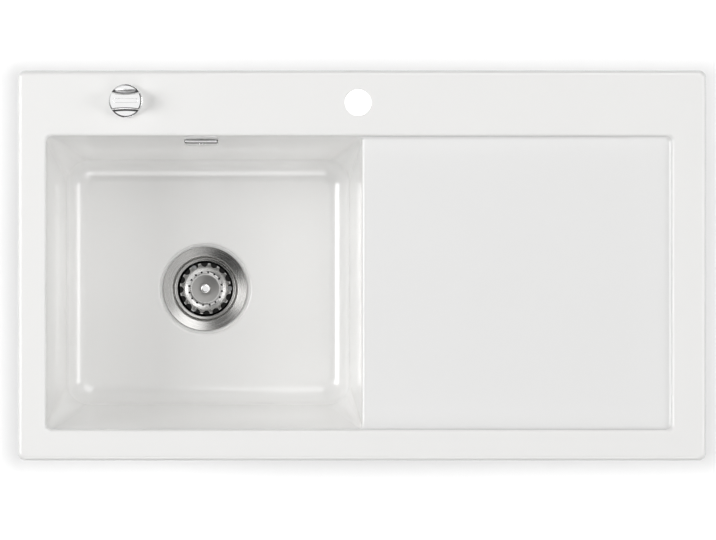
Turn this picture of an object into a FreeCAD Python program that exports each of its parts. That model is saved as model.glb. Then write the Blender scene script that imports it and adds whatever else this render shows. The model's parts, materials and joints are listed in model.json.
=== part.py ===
import FreeCAD, Part
import math
import os
import re

import Sketcher
from FreeCAD import Placement, Rotation, Vector

# Inset ceramic kitchen sink: bowl on the left, drainboard on the right, basket strainer with a
# rotary control on the back deck, and a piped overflow. Millimetres. The origin is on the worktop
# under the middle of the rim: X runs along the sink, Y to the back, Z up.

doc = FreeCAD.newDocument("KitchenSink")
sheet = doc.addObject("Spreadsheet::Sheet", "Sizes")
sizes = {
    # ceramic sink
    "sink_length": 900,
    "sink_width": 510,
    "sink_corner": 10,
    "rim_height": 10,
    "rim_round": 6.5,
    "seat_width": 12,
    "seal_width": 5,
    "seal_thickness": 1.9,
    "apron_wall": 12,
    "apron_depth": 18,
    "hollow_depth": 7,
    "rib_width": 14,
    "rim_left": 37,
    "rim_right": 44,
    "rim_front": 40,
    "deck_depth": 85,
    "recess_corner": 8,
    "recess_depth": 11,
    "recess_draft": 9.8,
    "recess_top_round": 4.5,
    "recess_floor_round": 3.5,
    "drain_rise": 3,
    "lip_x": 0.5,
    "lip_round": 4,
    "bowl_depth": 195,
    "bowl_side_inset": 20,
    "bowl_end_inset": 32.6,
    "floor_corner": 34,
    "floor_round": 30,
    "wall_thickness": 11,
    "floor_thickness": 12,
    "floor_fall": 1.5,
    "fall_radius": 122,
    "tap_left": 5,
    "tap_inset": 42,
    "tap_hole_radius": 17.5,
    "hole_edge_round": 1,
    "nut_clearance_radius": 25,
    # waste: strainer cup, gaskets and moulded body, heights below the bowl floor
    "waste_shift": 4.75,
    "waste_forward": 8.5,
    "waste_edge_radius": 60.5,
    "waste_edge_round": 2.2,
    "waste_hole_radius": 46,
    "seat_radius": 58,
    "seat_drop": 4.5,
    "seat_slope": 0.3,
    "gasket_gap": 0.1,
    "flange_gasket_thickness": 1.5,
    "flange_gasket_inner": 47,
    "flange_gasket_outer": 55.5,
    "sheet_thickness": 1,
    "flange_radius": 56.5,
    "mouth_radius": 43.5,
    "step_radius": 41.6,
    "step_drop": 14,
    "cup_radius": 37.3,
    "cup_floor_radius": 36.6,
    "cup_drop": 38,
    "cup_outlet_radius": 23,
    "cup_screw_count": 3,
    "cup_screw_circle": 32,
    "cup_screw_radius": 2,
    "cup_screw_head_radius": 3.4,
    "cup_screw_head_height": 1.6,
    "cup_screw_length": 10,
    "screw_hole_clearance": 0.25,
    "floor_gasket_thickness": 2.5,
    "floor_gasket_inner": 48,
    "body_flange_radius": 57,
    "body_flange_thickness": 4.5,
    "body_neck_radius": 47,
    "body_mouth_clearance": 0.8,
    "body_bore_clearance": 0.9,
    "cup_seal_thickness": 2,
    "cup_seal_inner": 29.5,
    "body_ledge_radius": 28,
    "body_ledge_height": 9.3,
    "chamber_radius": 31.5,
    "chamber_wall": 4,
    "chamber_height": 34,
    "outlet_radius": 20,
    "outlet_thread_radius": 23.9,
    "outlet_length": 20,
    "cone_height": 6,
    # basket with its plug, and the lift pin under it
    "basket_radius": 33.6,
    "basket_base_radius": 24,
    "basket_height": 13,
    "basket_sheet": 0.9,
    "basket_foot": 6,
    "tooth_count": 16,
    "tooth_angle": 13.6,
    "notch_circle": 34.4,
    "notch_radius": 4.9,
    "drain_hole_circle": 22.4,
    "drain_hole_radius": 1.4,
    "basket_dish_radius": 18.2,
    "basket_bead_radius": 20,
    "bead_height": 1.2,
    "plug_radius": 27.5,
    "plug_thickness": 3,
    "plug_gap": 0.1,
    "stem_radius": 6,
    "basket_knob_radius": 6.5,
    "basket_knob_neck": 3.4,
    "basket_knob_height": 13,
    "retainer_radius": 9,
    "retainer_thickness": 1.5,
    "pin_radius": 3,
    "pin_fit": 0.15,
    "pin_chamfer": 1.2,
    "socket_depth": 6,
    "guide_height": 6,
    "guide_hub_radius": 7,
    "guide_ring_wall": 3,
    "guide_arm_width": 4,
    "guide_drop": 1,
    # lifter under the lift pin
    "lifter_offset": 15,
    "lifter_below_ledge": 15,
    "lifter_half_swing": 20,
    "lifter_tip_radius": 3,
    "lifter_tip_gap": 0.33,
    "lifter_shaft_radius": 4,
    "shaft_fit": 0.05,
    "finger_width": 7,
    "finger_hub_radius": 7.5,
    "boss_radius": 11,
    "boss_length": 12,
    "gland_bore_radius": 8.2,
    "gland_bore_depth": 10,
    "gland_radius": 8,
    "gland_length": 5.6,
    "gland_head_radius": 10,
    "gland_head_length": 4,
    "oring_section_radius": 1.9,
    "bracket_thickness": 2,
    "arm_length": 18,
    "arm_thickness": 5,
    "arm_tip_radius": 4.5,
    "arm_hub_radius": 7,
    "nipple_hole_radius": 1.6,
    "arm_gap": 0.8,
    "arm_screw_head_radius": 4,
    "arm_screw_head_height": 2.5,
    "arm_screw_radius": 2,
    "arm_screw_length": 9,
    "bracket_reach": 32,
    "bracket_flange_width": 20,
    "cable_gland_radius": 4,
    "cable_gland_bore": 1.6,
    "cable_gland_length": 16,
    "cable_gland_nut_radius": 6.5,
    "cable_gland_nut_length": 4,
    # overflow on the back wall of the bowl
    "overflow_drop": 38,
    "overflow_slot_length": 34,
    "overflow_slot_height": 13,
    "cover_length": 44,
    "cover_height": 24,
    "cover_stand_off": 4.5,
    "cover_sheet": 1.2,
    "cover_corner": 3,
    "cover_vent_length": 32,
    "cover_gap": 0.2,
    "cover_round": 0.8,
    "overflow_gasket_thickness": 2,
    "head_length": 46,
    "head_height": 22,
    "head_depth": 32,
    "head_wall": 3,
    "head_boss_radius": 5,
    "head_boss_length": 14,
    "overflow_screw_radius": 2.5,
    "overflow_screw_head_radius": 4.6,
    "overflow_screw_grip": 8,
    "spigot_length": 20,
    "pipe_radius": 12.5,
    "pipe_bore": 10.5,
    "pipe_fit": 0.15,
    "pipe_insert": 10,
    "pipe_bend_radius": 34,
    "spigot_radius": 15.5,
    "union_seal_thickness": 3,
    "union_nut_radius": 19.5,
    "union_nut_grip": 9,
    "union_nut_lip": 3,
    "inlet_length": 24,
    # rotary control on the back deck, heights from the deck's top
    "control_end_inset": 141.4,
    "control_inset": 40,
    "control_hole_radius": 17.5,
    "escutcheon_radius": 21.8,
    "escutcheon_height": 4,
    "escutcheon_wall": 1.1,
    "escutcheon_bore": 10.5,
    "control_seal_thickness": 1.1,
    "sleeve_flange_radius": 20.2,
    "sleeve_flange_thickness": 1.4,
    "sleeve_radius": 16.5,
    "sleeve_length": 46,
    "spindle_radius": 6,
    "spindle_fit": 0.05,
    "knob_radius": 21.2,
    "knob_height": 15,
    "knob_gap": 0.4,
    "knob_round": 1.2,
    "knob_bore_depth": 9,
    "grip_width": 15.4,
    "scoop_radius": 110,
    "scoop_floor": 3,
    "scoop_taper": 27,
    "scoop_floor_round": 2,
    "grip_groove_width": 5.2,
    "grip_groove_length": 32,
    "grip_groove_depth": 0.5,
    "grub_screw_radius": 2,
    "deck_washer_radius": 24,
    "deck_washer_thickness": 3,
    "deck_nut_radius": 24,
    "deck_nut_height": 9,
    "thread_clearance": 0.15,
    "housing_length": 64,
    "housing_width": 34,
    "housing_height": 20,
    "housing_roof": 4,
    "drum_cavity_radius": 13,
    "drum_radius": 11,
    "drum_groove_radius": 8,
    "drum_height": 10,
    "drum_side": 3.6,
    "drum_pin_radius": 1.2,
    "drum_gap": 0.4,
    "clip_radius": 8.5,
    "clip_thickness": 1.2,
    "clip_groove_depth": 0.8,
    "spindle_seal_radius": 8.1,
    "spindle_seal_height": 2,
    "control_gland_grip": 8,
    "housing_cover_thickness": 3,
    "cover_screw_radius": 1.5,
    "cover_screw_head_radius": 2.8,
    "cover_screw_head_height": 2,
    "cover_screw_length": 9,
    "cover_screw_edge": 5,
    "part_gap": 0.1,
}
for row, (name, number) in enumerate(sizes.items(), start=1):
    sheet.set(f"A{row}", name)
    sheet.set(f"B{row}", str(number))
    sheet.setAlias(f"B{row}", name)
doc.recompute()


# places on the sink, as distances to either side of the origin
places = {
    "recess_left": "(sink_length / 2 - rim_left)",
    "recess_right": "(sink_length / 2 - rim_right)",
    "recess_front": "(sink_width / 2 - rim_front)",
    "recess_back": "(sink_width / 2 - deck_depth)",
    "tap_back": "(sink_width / 2 - tap_inset)",
    "waste_left": "((recess_left - lip_x) / 2 + waste_shift)",
    "waste_front": "((recess_front - recess_back) / 2 + waste_forward)",
    "control_left": "(sink_length / 2 - control_end_inset)",
    "control_back": "(sink_width / 2 - control_inset)",
}


def spell(found):
    """Write one name of an expression the way the document understands it."""
    name = found.group()
    if name in places:
        return bind(places[name])
    return "Sizes." + name if name in sizes else name


def bind(expression):
    """Turn an expression in the sizes' own names into one that the document understands."""
    return re.sub(r"[a-z][a-z_]+", spell, expression)


def value(expression):
    """Work an expression out from the sheet."""
    result = sheet.evalExpression(bind(expression))
    return float(getattr(result, "Value", result))


# --- drawing helpers ---
def new_body(label, place=("0", "0", "0"), turn=None):
    """Start a sub-part at a place given by expressions, turned about an axis through it."""
    body = doc.addObject("PartDesign::Body", label)
    body.Label = label
    if turn:
        body.Placement = Placement(Vector(0, 0, 0), Rotation(turn[0], value(turn[1])))
        body.setExpression("Placement.Rotation.Angle", bind(turn[1]))
    for axis, expression in zip("xyz", place):
        if expression != "0":
            body.setExpression(f"Placement.Base.{axis}", bind(expression))
    return body


def origin_item(body, role):
    return next(item for item in body.Origin.OriginFeatures if item.Role == role)


def new_sketch(body, name, role="XY_Plane", offset="0"):
    drawn = body.newObject("Sketcher::SketchObject", f"{body.Label}_{name}")
    drawn.AttachmentSupport = (origin_item(body, role), [""])
    drawn.MapMode = "FlatFace"
    if offset != "0":
        drawn.setExpression("AttachmentOffset.Base.z", bind(offset))
    return drawn


def fix_point(drawn, piece, end, x, y):
    """Hold one point of a drawn piece at a place given by two expressions."""
    for kind, expression in (("DistanceX", x), ("DistanceY", y)):
        rule = Sketcher.Constraint(kind, -1, 1, piece, end, value(expression))
        number = drawn.addConstraint(rule)
        drawn.setExpression(f"Constraints[{number}]", bind(expression))


def fix_radius(drawn, piece, radius):
    number = drawn.addConstraint(Sketcher.Constraint("Radius", piece, value(radius)))
    drawn.setExpression(f"Constraints[{number}]", bind(radius))


def draw_polygon(drawn, corners):
    """A closed run of straight lines through corners given as pairs of expressions."""
    spots = [Vector(value(x), value(y), 0) for x, y in corners]
    first = drawn.GeometryCount
    count = len(corners)
    for i in range(count):
        drawn.addGeometry(Part.LineSegment(spots[i], spots[(i + 1) % count]), False)
    for i in range(count):
        after = first + (i + 1) % count
        drawn.addConstraint(Sketcher.Constraint("Coincident", first + i, 2, after, 1))
        fix_point(drawn, first + i, 1, *corners[i])


def draw_circle(drawn, x, y, radius):
    middle = Vector(value(x), value(y), 0)
    piece = drawn.addGeometry(Part.Circle(middle, Vector(0, 0, 1), value(radius)), False)
    fix_point(drawn, piece, 3, x, y)
    fix_radius(drawn, piece, radius)


def draw_round_box(drawn, left, front, right, back, radius):
    """A rectangle with round corners: four lines and four quarter arcs."""
    inset = [
        (f"{left} + {radius}", front, f"{right} - {radius}", front),
        (right, f"{front} + {radius}", right, f"{back} - {radius}"),
        (f"{right} - {radius}", back, f"{left} + {radius}", back),
        (left, f"{back} - {radius}", left, f"{front} + {radius}"),
    ]
    centres = [
        (f"{right} - {radius}", f"{front} + {radius}"),
        (f"{right} - {radius}", f"{back} - {radius}"),
        (f"{left} + {radius}", f"{back} - {radius}"),
        (f"{left} + {radius}", f"{front} + {radius}"),
    ]
    first = drawn.GeometryCount
    for x0, y0, x1, y1 in inset:
        start = Vector(value(x0), value(y0), 0)
        end = Vector(value(x1), value(y1), 0)
        drawn.addGeometry(Part.LineSegment(start, end), False)
    for i, (x, y) in enumerate(centres):
        whole = Part.Circle(Vector(value(x), value(y), 0), Vector(0, 0, 1), value(radius))
        begin = math.radians(90 * (i - 1))
        drawn.addGeometry(Part.ArcOfCircle(whole, begin, begin + math.pi / 2), False)
    for i, (x0, y0, x1, y1) in enumerate(inset):
        arc = first + 4 + i
        fix_point(drawn, first + i, 1, x0, y0)
        fix_point(drawn, first + i, 2, x1, y1)
        drawn.addConstraint(Sketcher.Constraint("Coincident", first + i, 2, arc, 1))
        drawn.addConstraint(Sketcher.Constraint("Coincident", arc, 2, first + (i + 1) % 4, 1))
        fix_radius(drawn, arc, radius)


# --- solid helpers ---
def extrude(body, kind, name, drawn, length, reverse=False, taper=None):
    """Pad or Pocket a sketch by a length."""
    made = body.newObject(f"PartDesign::{kind}", f"{body.Label}_{name}")
    made.Profile = drawn
    made.setExpression("Length", bind(length))
    made.Reversed = reverse
    if taper:
        made.setExpression("TaperAngle", bind(taper))
    doc.recompute()
    return made


def spin(body, kind, name, drawn):
    """Revolution or Groove of a sketch about its upright axis."""
    made = body.newObject(f"PartDesign::{kind}", f"{body.Label}_{name}")
    made.Profile = drawn
    made.ReferenceAxis = (drawn, ["V_Axis"])
    made.Angle = 360
    doc.recompute()
    return made


def turned(label, place, profile, turn=None):
    """A turned sub-part from one closed profile of (radius, height) expressions."""
    body = new_body(label, place, turn)
    drawn = new_sketch(body, "profile", "XZ_Plane")
    draw_polygon(drawn, profile)
    spin(body, "Revolution", "turning", drawn)
    return body


def ring_profile(inner, outer, low, high):
    return [(inner, low), (outer, low), (outer, high), (inner, high)]


def around(body, name, original, count):
    """Repeat one feature evenly around the sub-part's upright axis."""
    made = body.newObject("PartDesign::PolarPattern", f"{body.Label}_{name}")
    made.Originals = [original]
    made.Axis = (origin_item(body, "Z_Axis"), [""])
    made.Angle = 360
    made.setExpression("Occurrences", bind(count))
    body.Tip = made
    doc.recompute()
    return made


def round_edges(body, name, radius, wanted):
    """Round the edges of the body's last feature that the test picks."""
    base = body.Tip
    names = [f"Edge{i + 1}" for i, edge in enumerate(base.Shape.Edges) if wanted(edge)]
    made = body.newObject("PartDesign::Fillet", f"{body.Label}_{name}")
    made.Base = (base, names)
    made.setExpression("Radius", bind(radius))
    doc.recompute()
    return made


def level(edge, height, tolerance=0.01):
    """True where an edge lies flat at a height."""
    box = edge.BoundBox
    return abs(box.ZMin - height) < tolerance and abs(box.ZMax - height) < tolerance


def circle_at(edge, radius, height, tolerance=0.01):
    """True for a full circle about the sub-part's axis with this radius and height."""
    curve = edge.Curve
    if not isinstance(curve, Part.Circle) or not edge.isClosed():
        return False
    return abs(curve.Radius - radius) < tolerance and abs(curve.Center.z - height) < tolerance


# --- places that several sub-parts share ---
LIP_Z = "(rim_height - recess_depth)"
FLOOR_Z = "(rim_height - bowl_depth)"
DECK_UNDER = "(apron_depth - hollow_depth)"
DECK_THICKNESS = f"(rim_height + {DECK_UNDER})"
RECESS_SHRINK = "(recess_depth * tan(recess_draft))"
BOWL_HEIGHT = f"({LIP_Z} - {FLOOR_Z})"
BACK_LIP_Y = f"(recess_back - {RECESS_SHRINK})"
BACK_SLOPE = f"((bowl_end_inset - {RECESS_SHRINK}) / {BOWL_HEIGHT})"
SIDE_SLOPE = f"((bowl_side_inset - {RECESS_SHRINK}) / {BOWL_HEIGHT})"
BACK_TILT = f"atan({BACK_SLOPE})"
WASTE = ("-waste_left", "-waste_front", FLOOR_Z)
CONTROL = ("-control_left", "control_back", "rim_height")
OVERFLOW = (
    "-waste_left",
    f"({BACK_LIP_Y} - (overflow_drop - recess_depth) * {BACK_SLOPE})",
    "(rim_height - overflow_drop)",
)


def seat_height(radius):
    """Height of the ceramic's conical seat under the strainer flange, below the bowl floor."""
    return f"(-seat_drop - (seat_radius - {radius}) * seat_slope)"


def flange_under(radius):
    return f"({seat_height(radius)} + flange_gasket_thickness + 2 * gasket_gap)"


# --- the ceramic sink ---
def make_sink_body():
    body = new_body("sink_body")
    half_length = "sink_length / 2"
    half_width = "sink_width / 2"

    rim = new_sketch(body, "rim")
    draw_round_box(rim, f"-{half_length}", f"-{half_width}", half_length, half_width, "sink_corner")
    extrude(body, "Pad", "rim_pad", rim, "rim_height")
    rim_top = value("rim_height")
    round_edges(body, "outer_rim_rounding", "rim_round", lambda edge: level(edge, rim_top))

    apron = new_sketch(body, "apron")
    draw_round_box(
        apron,
        f"-{half_length} + seat_width", f"-{half_width} + seat_width",
        f"{half_length} - seat_width", f"{half_width} - seat_width",
        "sink_corner",
    )
    extrude(body, "Pad", "apron_pad", apron, "apron_depth", reverse=True)

    rebate = new_sketch(body, "seal_rebate")
    for inset in ("(seat_width - seal_width)", "seat_width"):
        draw_round_box(
            rebate,
            f"-{half_length} + {inset}", f"-{half_width} + {inset}",
            f"{half_length} - {inset}", f"{half_width} - {inset}",
            "sink_corner",
        )
    extrude(body, "Pocket", "seal_rebate_cut", rebate, "seal_thickness + part_gap", reverse=True)

    hollows = new_sketch(body, "hollows", offset="-apron_depth")
    hollow_left = "(lip_x + wall_thickness + apron_wall)"
    hollow_right = f"({half_length} - seat_width - apron_wall)"
    hollow_width = f"(({hollow_right} - {hollow_left} - 2 * rib_width) / 3)"
    for i in range(3):
        left = f"({hollow_left} + {i} * ({hollow_width} + rib_width))"
        draw_round_box(
            hollows, left, f"-{half_width} + seat_width + apron_wall",
            f"({left} + {hollow_width})", "(recess_back + wall_thickness)", "sink_corner",
        )
    extrude(body, "Pocket", "hollow_cut", hollows, "hollow_depth", reverse=True)

    # The bowl's outside: parallel to its inside, one wall thickness out.
    deeper = "floor_thickness"
    outer_top = new_sketch(body, "bowl_outer_top", offset=LIP_Z)
    top_corner = f"(recess_corner - {RECESS_SHRINK} + wall_thickness)"
    draw_round_box(
        outer_top,
        f"-recess_left + {RECESS_SHRINK} - wall_thickness",
        f"-recess_front + {RECESS_SHRINK} - wall_thickness",
        "lip_x + wall_thickness", f"{BACK_LIP_Y} + wall_thickness", top_corner,
    )
    outer_low = new_sketch(body, "bowl_outer_low", offset=f"{FLOOR_Z} - {deeper}")
    draw_round_box(
        outer_low,
        f"-recess_left + bowl_side_inset + {SIDE_SLOPE} * {deeper} - wall_thickness",
        f"-recess_front + bowl_end_inset + {BACK_SLOPE} * {deeper} - wall_thickness",
        f"lip_x - bowl_side_inset - {SIDE_SLOPE} * {deeper} + wall_thickness",
        f"recess_back - bowl_end_inset - {BACK_SLOPE} * {deeper} + wall_thickness",
        "(floor_corner + wall_thickness)",
    )
    outer = body.newObject("PartDesign::AdditiveLoft", "sink_body_bowl_outer")
    outer.Profile = outer_top
    outer.Sections = [outer_low]
    outer.Ruled = True
    doc.recompute()
    under = value(f"{FLOOR_Z} - {deeper}")
    round_edges(body, "outer_round", "floor_round", lambda edge: level(edge, under))

    recess = new_sketch(body, "recess", offset="rim_height")
    draw_round_box(
        recess, "-recess_left", "-recess_front", "recess_right", "recess_back", "recess_corner"
    )
    extrude(body, "Pocket", "recess_cut", recess, "recess_depth", taper="-recess_draft")

    slope = new_sketch(body, "drain_slope", "XZ_Plane", offset="-recess_back")
    slope_start = "(lip_x + 2 * lip_round)"
    draw_polygon(
        slope,
        [(slope_start, LIP_Z), ("recess_right", LIP_Z), ("recess_right", f"{LIP_Z} + drain_rise")],
    )
    extrude(body, "Pad", "drain_slope_pad", slope, "recess_back + recess_front")

    half_x = value(half_length)
    lip = value("lip_x")
    slope_left = value(slope_start)
    recess_bottom = value(LIP_Z)
    rise = value("drain_rise")

    def inner_rim(edge):
        box = edge.BoundBox
        reach = max(abs(box.XMin), abs(box.XMax))
        return level(edge, rim_top) and reach < half_x - value("rim_round") - 1

    def recess_floor_edge(edge):
        box = edge.BoundBox
        inside = box.XMax < value("recess_right") and box.XMin > slope_left - 0.01
        low = box.ZMin > recess_bottom - 0.01 and box.ZMax < recess_bottom + rise + 0.01
        across = box.XMax < slope_left + 0.01
        return inside and low and not across

    round_edges(body, "recess_top_rounding", "recess_top_round", inner_rim)
    round_edges(body, "recess_floor_rounding", "recess_floor_round", recess_floor_edge)

    inner_top = new_sketch(body, "bowl_inner_top", offset=LIP_Z)
    draw_round_box(
        inner_top,
        f"-recess_left + {RECESS_SHRINK}", f"-recess_front + {RECESS_SHRINK}",
        "lip_x", BACK_LIP_Y, f"(recess_corner - {RECESS_SHRINK})",
    )
    inner_low = new_sketch(body, "bowl_inner_low", offset=FLOOR_Z)
    draw_round_box(
        inner_low,
        "-recess_left + bowl_side_inset", "-recess_front + bowl_end_inset",
        "lip_x - bowl_side_inset", "recess_back - bowl_end_inset", "floor_corner",
    )
    inner = body.newObject("PartDesign::SubtractiveLoft", "sink_body_bowl_inner")
    inner.Profile = inner_top
    inner.Sections = [inner_low]
    inner.Ruled = True
    doc.recompute()
    floor_level = value(FLOOR_Z)
    round_edges(body, "floor_rounding", "floor_round", lambda edge: level(edge, floor_level))

    # The lip between bowl and drainboard, eased where it runs straight.
    ease = new_sketch(body, "lip_ease", "XZ_Plane", offset="-recess_back + recess_corner")
    lip_start = Vector(lip, recess_bottom - value("lip_round"), 0)
    lip_end = Vector(lip + value("lip_round"), recess_bottom, 0)
    middle = Vector(lip_end.x, lip_start.y, 0)
    whole = Part.Circle(middle, Vector(0, 0, 1), value("lip_round"))
    ease.addGeometry(Part.ArcOfCircle(whole, math.pi / 2, math.pi), False)
    ease.addGeometry(Part.LineSegment(lip_start, Vector(lip_start.x, lip_end.y, 0)), False)
    ease.addGeometry(Part.LineSegment(Vector(lip_start.x, lip_end.y, 0), lip_end), False)
    for piece, end, after, start in ((0, 2, 1, 1), (1, 2, 2, 1), (2, 2, 0, 1)):
        ease.addConstraint(Sketcher.Constraint("Coincident", piece, end, after, start))
    fix_point(ease, 0, 3, "lip_x + lip_round", f"{LIP_Z} - lip_round")
    fix_point(ease, 1, 2, "lip_x", LIP_Z)
    fix_radius(ease, 0, "lip_round")
    extrude(body, "Pocket", "lip_ease_cut", ease, "recess_back + recess_front - 2 * recess_corner")

    # The waste: a floor that falls to it, a conical seat and the hole.
    waste = new_sketch(body, "waste_seat", "XZ_Plane", offset="waste_front")
    waste.setExpression("AttachmentOffset.Base.x", bind("-waste_left"))
    above = f"({FLOOR_Z} + floor_round)"
    draw_polygon(
        waste,
        [
            ("0", above),
            ("fall_radius", above),
            ("fall_radius", FLOOR_Z),
            ("waste_edge_radius", f"{FLOOR_Z} - floor_fall"),
            ("waste_edge_radius", f"{FLOOR_Z} - seat_drop"),
            ("seat_radius", f"{FLOOR_Z} - seat_drop"),
            ("waste_hole_radius", f"{FLOOR_Z} + {seat_height('waste_hole_radius')}"),
            ("waste_hole_radius", f"{FLOOR_Z} - 2 * floor_thickness"),
            ("0", f"{FLOOR_Z} - 2 * floor_thickness"),
        ],
    )
    spin(body, "Groove", "waste_seat_cut", waste)
    edge_radius = value("waste_edge_radius")
    edge_level = value(f"{FLOOR_Z} - floor_fall")
    round_edges(
        body, "waste_edge_rounding", "waste_edge_round",
        lambda edge: circle_at(edge, edge_radius, edge_level),
    )

    # Deck holes, each with a clearance for its nut under the deck.
    holes = new_sketch(body, "deck_holes", offset="rim_height")
    draw_circle(holes, "-tap_left", "tap_back", "tap_hole_radius")
    draw_circle(holes, "-control_left", "control_back", "control_hole_radius")
    extrude(body, "Pocket", "deck_hole_cut", holes, "rim_height + 2 * apron_depth")
    room = new_sketch(body, "nut_room", offset="-apron_depth")
    draw_circle(room, "-tap_left", "tap_back", "nut_clearance_radius")
    draw_circle(room, "-control_left", "control_back", "nut_clearance_radius")
    extrude(body, "Pocket", "nut_room_cut", room, "hollow_depth", reverse=True)

    # The overflow slot, square to the back wall.
    slot = new_sketch(body, "overflow_slot", "XY_Plane")
    slot.AttachmentOffset = Placement(Vector(0, 0, 0), Rotation(Vector(1, 0, 0), 80))
    slot.setExpression("AttachmentOffset.Rotation.Angle", bind(f"90 deg - {BACK_TILT}"))
    for axis, expression in zip("xyz", OVERFLOW):
        slot.setExpression(f"AttachmentOffset.Base.{axis}", bind(expression))
    half_slot = "overflow_slot_height / 2"
    draw_round_box(
        slot, "-overflow_slot_length / 2", f"-{half_slot}",
        "overflow_slot_length / 2", half_slot, f"({half_slot} - 0.01)",
    )
    extrude(body, "Pocket", "overflow_slot_cut", slot, "2 * wall_thickness")
    body.Tip.Midplane = True
    doc.recompute()

    def hole_rims(edge):
        curve = edge.Curve
        full = isinstance(curve, Part.Circle) and edge.isClosed()
        return full and level(edge, rim_top)

    round_edges(body, "hole_rim_rounding", "hole_edge_round", hole_rims)



# --- strip that seals the rim to the worktop ---
def make_rim_seal():
    body = new_body("rim_seal")
    drawn = new_sketch(body, "strip")
    outer = "(seat_width - seal_width + part_gap)"
    inner = "(seat_width - part_gap)"
    for inset in (outer, inner):
        draw_round_box(
            drawn,
            f"-sink_length / 2 + {inset}", f"-sink_width / 2 + {inset}",
            f"sink_length / 2 - {inset}", f"sink_width / 2 - {inset}",
            "sink_corner",
        )
    extrude(body, "Pad", "strip_pad", drawn, "seal_thickness")


# --- strainer cup and what clamps it to the bowl ---
CUP_UNDER = "(-cup_drop - sheet_thickness)"
BODY_TOP = "(-floor_thickness - floor_gasket_thickness - 2 * part_gap)"
LEDGE_TOP = f"({CUP_UNDER} - cup_seal_thickness - 2 * part_gap)"
LEDGE_UNDER = f"({LEDGE_TOP} - body_ledge_height)"
CHAMBER_FLOOR = f"({LEDGE_UNDER} - chamber_height)"
BODY_BORE = "(cup_radius + sheet_thickness + body_bore_clearance)"
CHAMBER_OUTER = "(chamber_radius + chamber_wall)"
OUTLET_TOP = f"({CHAMBER_FLOOR} - cone_height)"
SHAFT_Z = f"({LEDGE_UNDER} - lifter_below_ledge)"
INLET_Z = f"({LEDGE_UNDER} - chamber_height / 2)"


def make_strainer_cup():
    rim_top = f"({flange_under('flange_radius')} + sheet_thickness)"
    mouth_top = f"({flange_under('mouth_radius')} + sheet_thickness)"
    mouth_outer = "(mouth_radius + 0.8 * sheet_thickness)"
    body = turned(
        "strainer_cup", WASTE,
        [
            ("flange_radius", flange_under("flange_radius")),
            ("flange_radius", rim_top),
            ("mouth_radius", mouth_top),
            ("step_radius", "-step_drop"),
            ("cup_radius", "-step_drop - sheet_thickness"),
            ("cup_floor_radius", "-cup_drop"),
            ("cup_outlet_radius", "-cup_drop"),
            ("cup_outlet_radius", CUP_UNDER),
            ("cup_floor_radius + sheet_thickness", CUP_UNDER),
            ("cup_radius + sheet_thickness", "-step_drop - 2 * sheet_thickness"),
            ("step_radius + sheet_thickness", "-step_drop - sheet_thickness"),
            (mouth_outer, flange_under(mouth_outer)),
        ],
    )
    drill_circle(body, "screw_hole", "cup_screw_radius + screw_hole_clearance", CUP_UNDER)


def drill_circle(body, name, radius, below):
    """Three screw holes round the outlet, drilled down past a level."""
    drawn = new_sketch(body, name, offset=f"{below} - 2 * cup_screw_length")
    draw_circle(drawn, "cup_screw_circle", "0", radius)
    depth = f"-{below} + 2 * cup_screw_length - cup_drop + 2 * sheet_thickness"
    hole = extrude(body, "Pocket", f"{name}_cut", drawn, depth, reverse=True)
    around(body, f"{name}_ring", hole, "cup_screw_count")


def make_flange_gasket():
    inner = "flange_gasket_inner"
    outer = "flange_gasket_outer"
    turned(
        "flange_gasket", WASTE,
        [
            (inner, f"{seat_height(inner)} + gasket_gap"),
            (outer, f"{seat_height(outer)} + gasket_gap"),
            (outer, f"{seat_height(outer)} + gasket_gap + flange_gasket_thickness"),
            (inner, f"{seat_height(inner)} + gasket_gap + flange_gasket_thickness"),
        ],
    )


def make_floor_gasket():
    high = "(-floor_thickness - part_gap)"
    low = f"({high} - floor_gasket_thickness)"
    turned("floor_gasket", WASTE, ring_profile("floor_gasket_inner", "body_flange_radius", low, high))


def make_cup_seal():
    high = f"({CUP_UNDER} - part_gap)"
    low = f"({high} - cup_seal_thickness)"
    outer = f"({BODY_BORE} - 2 * part_gap)"
    body = turned("cup_seal", WASTE, ring_profile("cup_seal_inner", outer, low, high))
    drill_circle(body, "screw_hole", "cup_screw_radius + screw_hole_clearance", low)


def screw_profile(radius, head_radius, head_height, grip):
    """Half of a round-headed screw: shank down from the level under its head."""
    return [
        ("0", f"-{grip}"),
        (radius, f"-{grip}"),
        (radius, "0"),
        (head_radius, "0"),
        (head_radius, head_height),
        ("0", head_height),
    ]


def cut_cross(body, arm, height, depth):
    """The driver's cross in a screw head whose top is at the given height."""
    half = f"(0.2 * {arm})"
    drawn = new_sketch(body, "drive", offset=height)
    draw_polygon(
        drawn,
        [
            (f"-{arm}", f"-{half}"), (f"-{half}", f"-{half}"), (f"-{half}", f"-{arm}"),
            (half, f"-{arm}"), (half, f"-{half}"), (arm, f"-{half}"),
            (arm, half), (half, half), (half, arm),
            (f"-{half}", arm), (f"-{half}", half), (f"-{arm}", half),
        ],
    )
    extrude(body, "Pocket", "drive_cut", drawn, depth)


def make_cup_screws():
    """Screws from the cup's floor into the ledge of the moulded body."""
    profile = screw_profile(
        "cup_screw_radius", "cup_screw_head_radius", "cup_screw_head_height", "cup_screw_length"
    )
    for i in range(3):
        turn = f"(360 deg * {i} / cup_screw_count)"
        place = (
            f"{WASTE[0]} + cup_screw_circle * cos({turn})",
            f"{WASTE[1]} + cup_screw_circle * sin({turn})",
            f"{WASTE[2]} - cup_drop",
        )
        body = turned(f"cup_screw_{i + 1}", place, profile)
        arm = "(0.7 * cup_screw_head_radius)"
        cut_cross(body, arm, "cup_screw_head_height", "0.6 * cup_screw_head_height")


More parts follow.
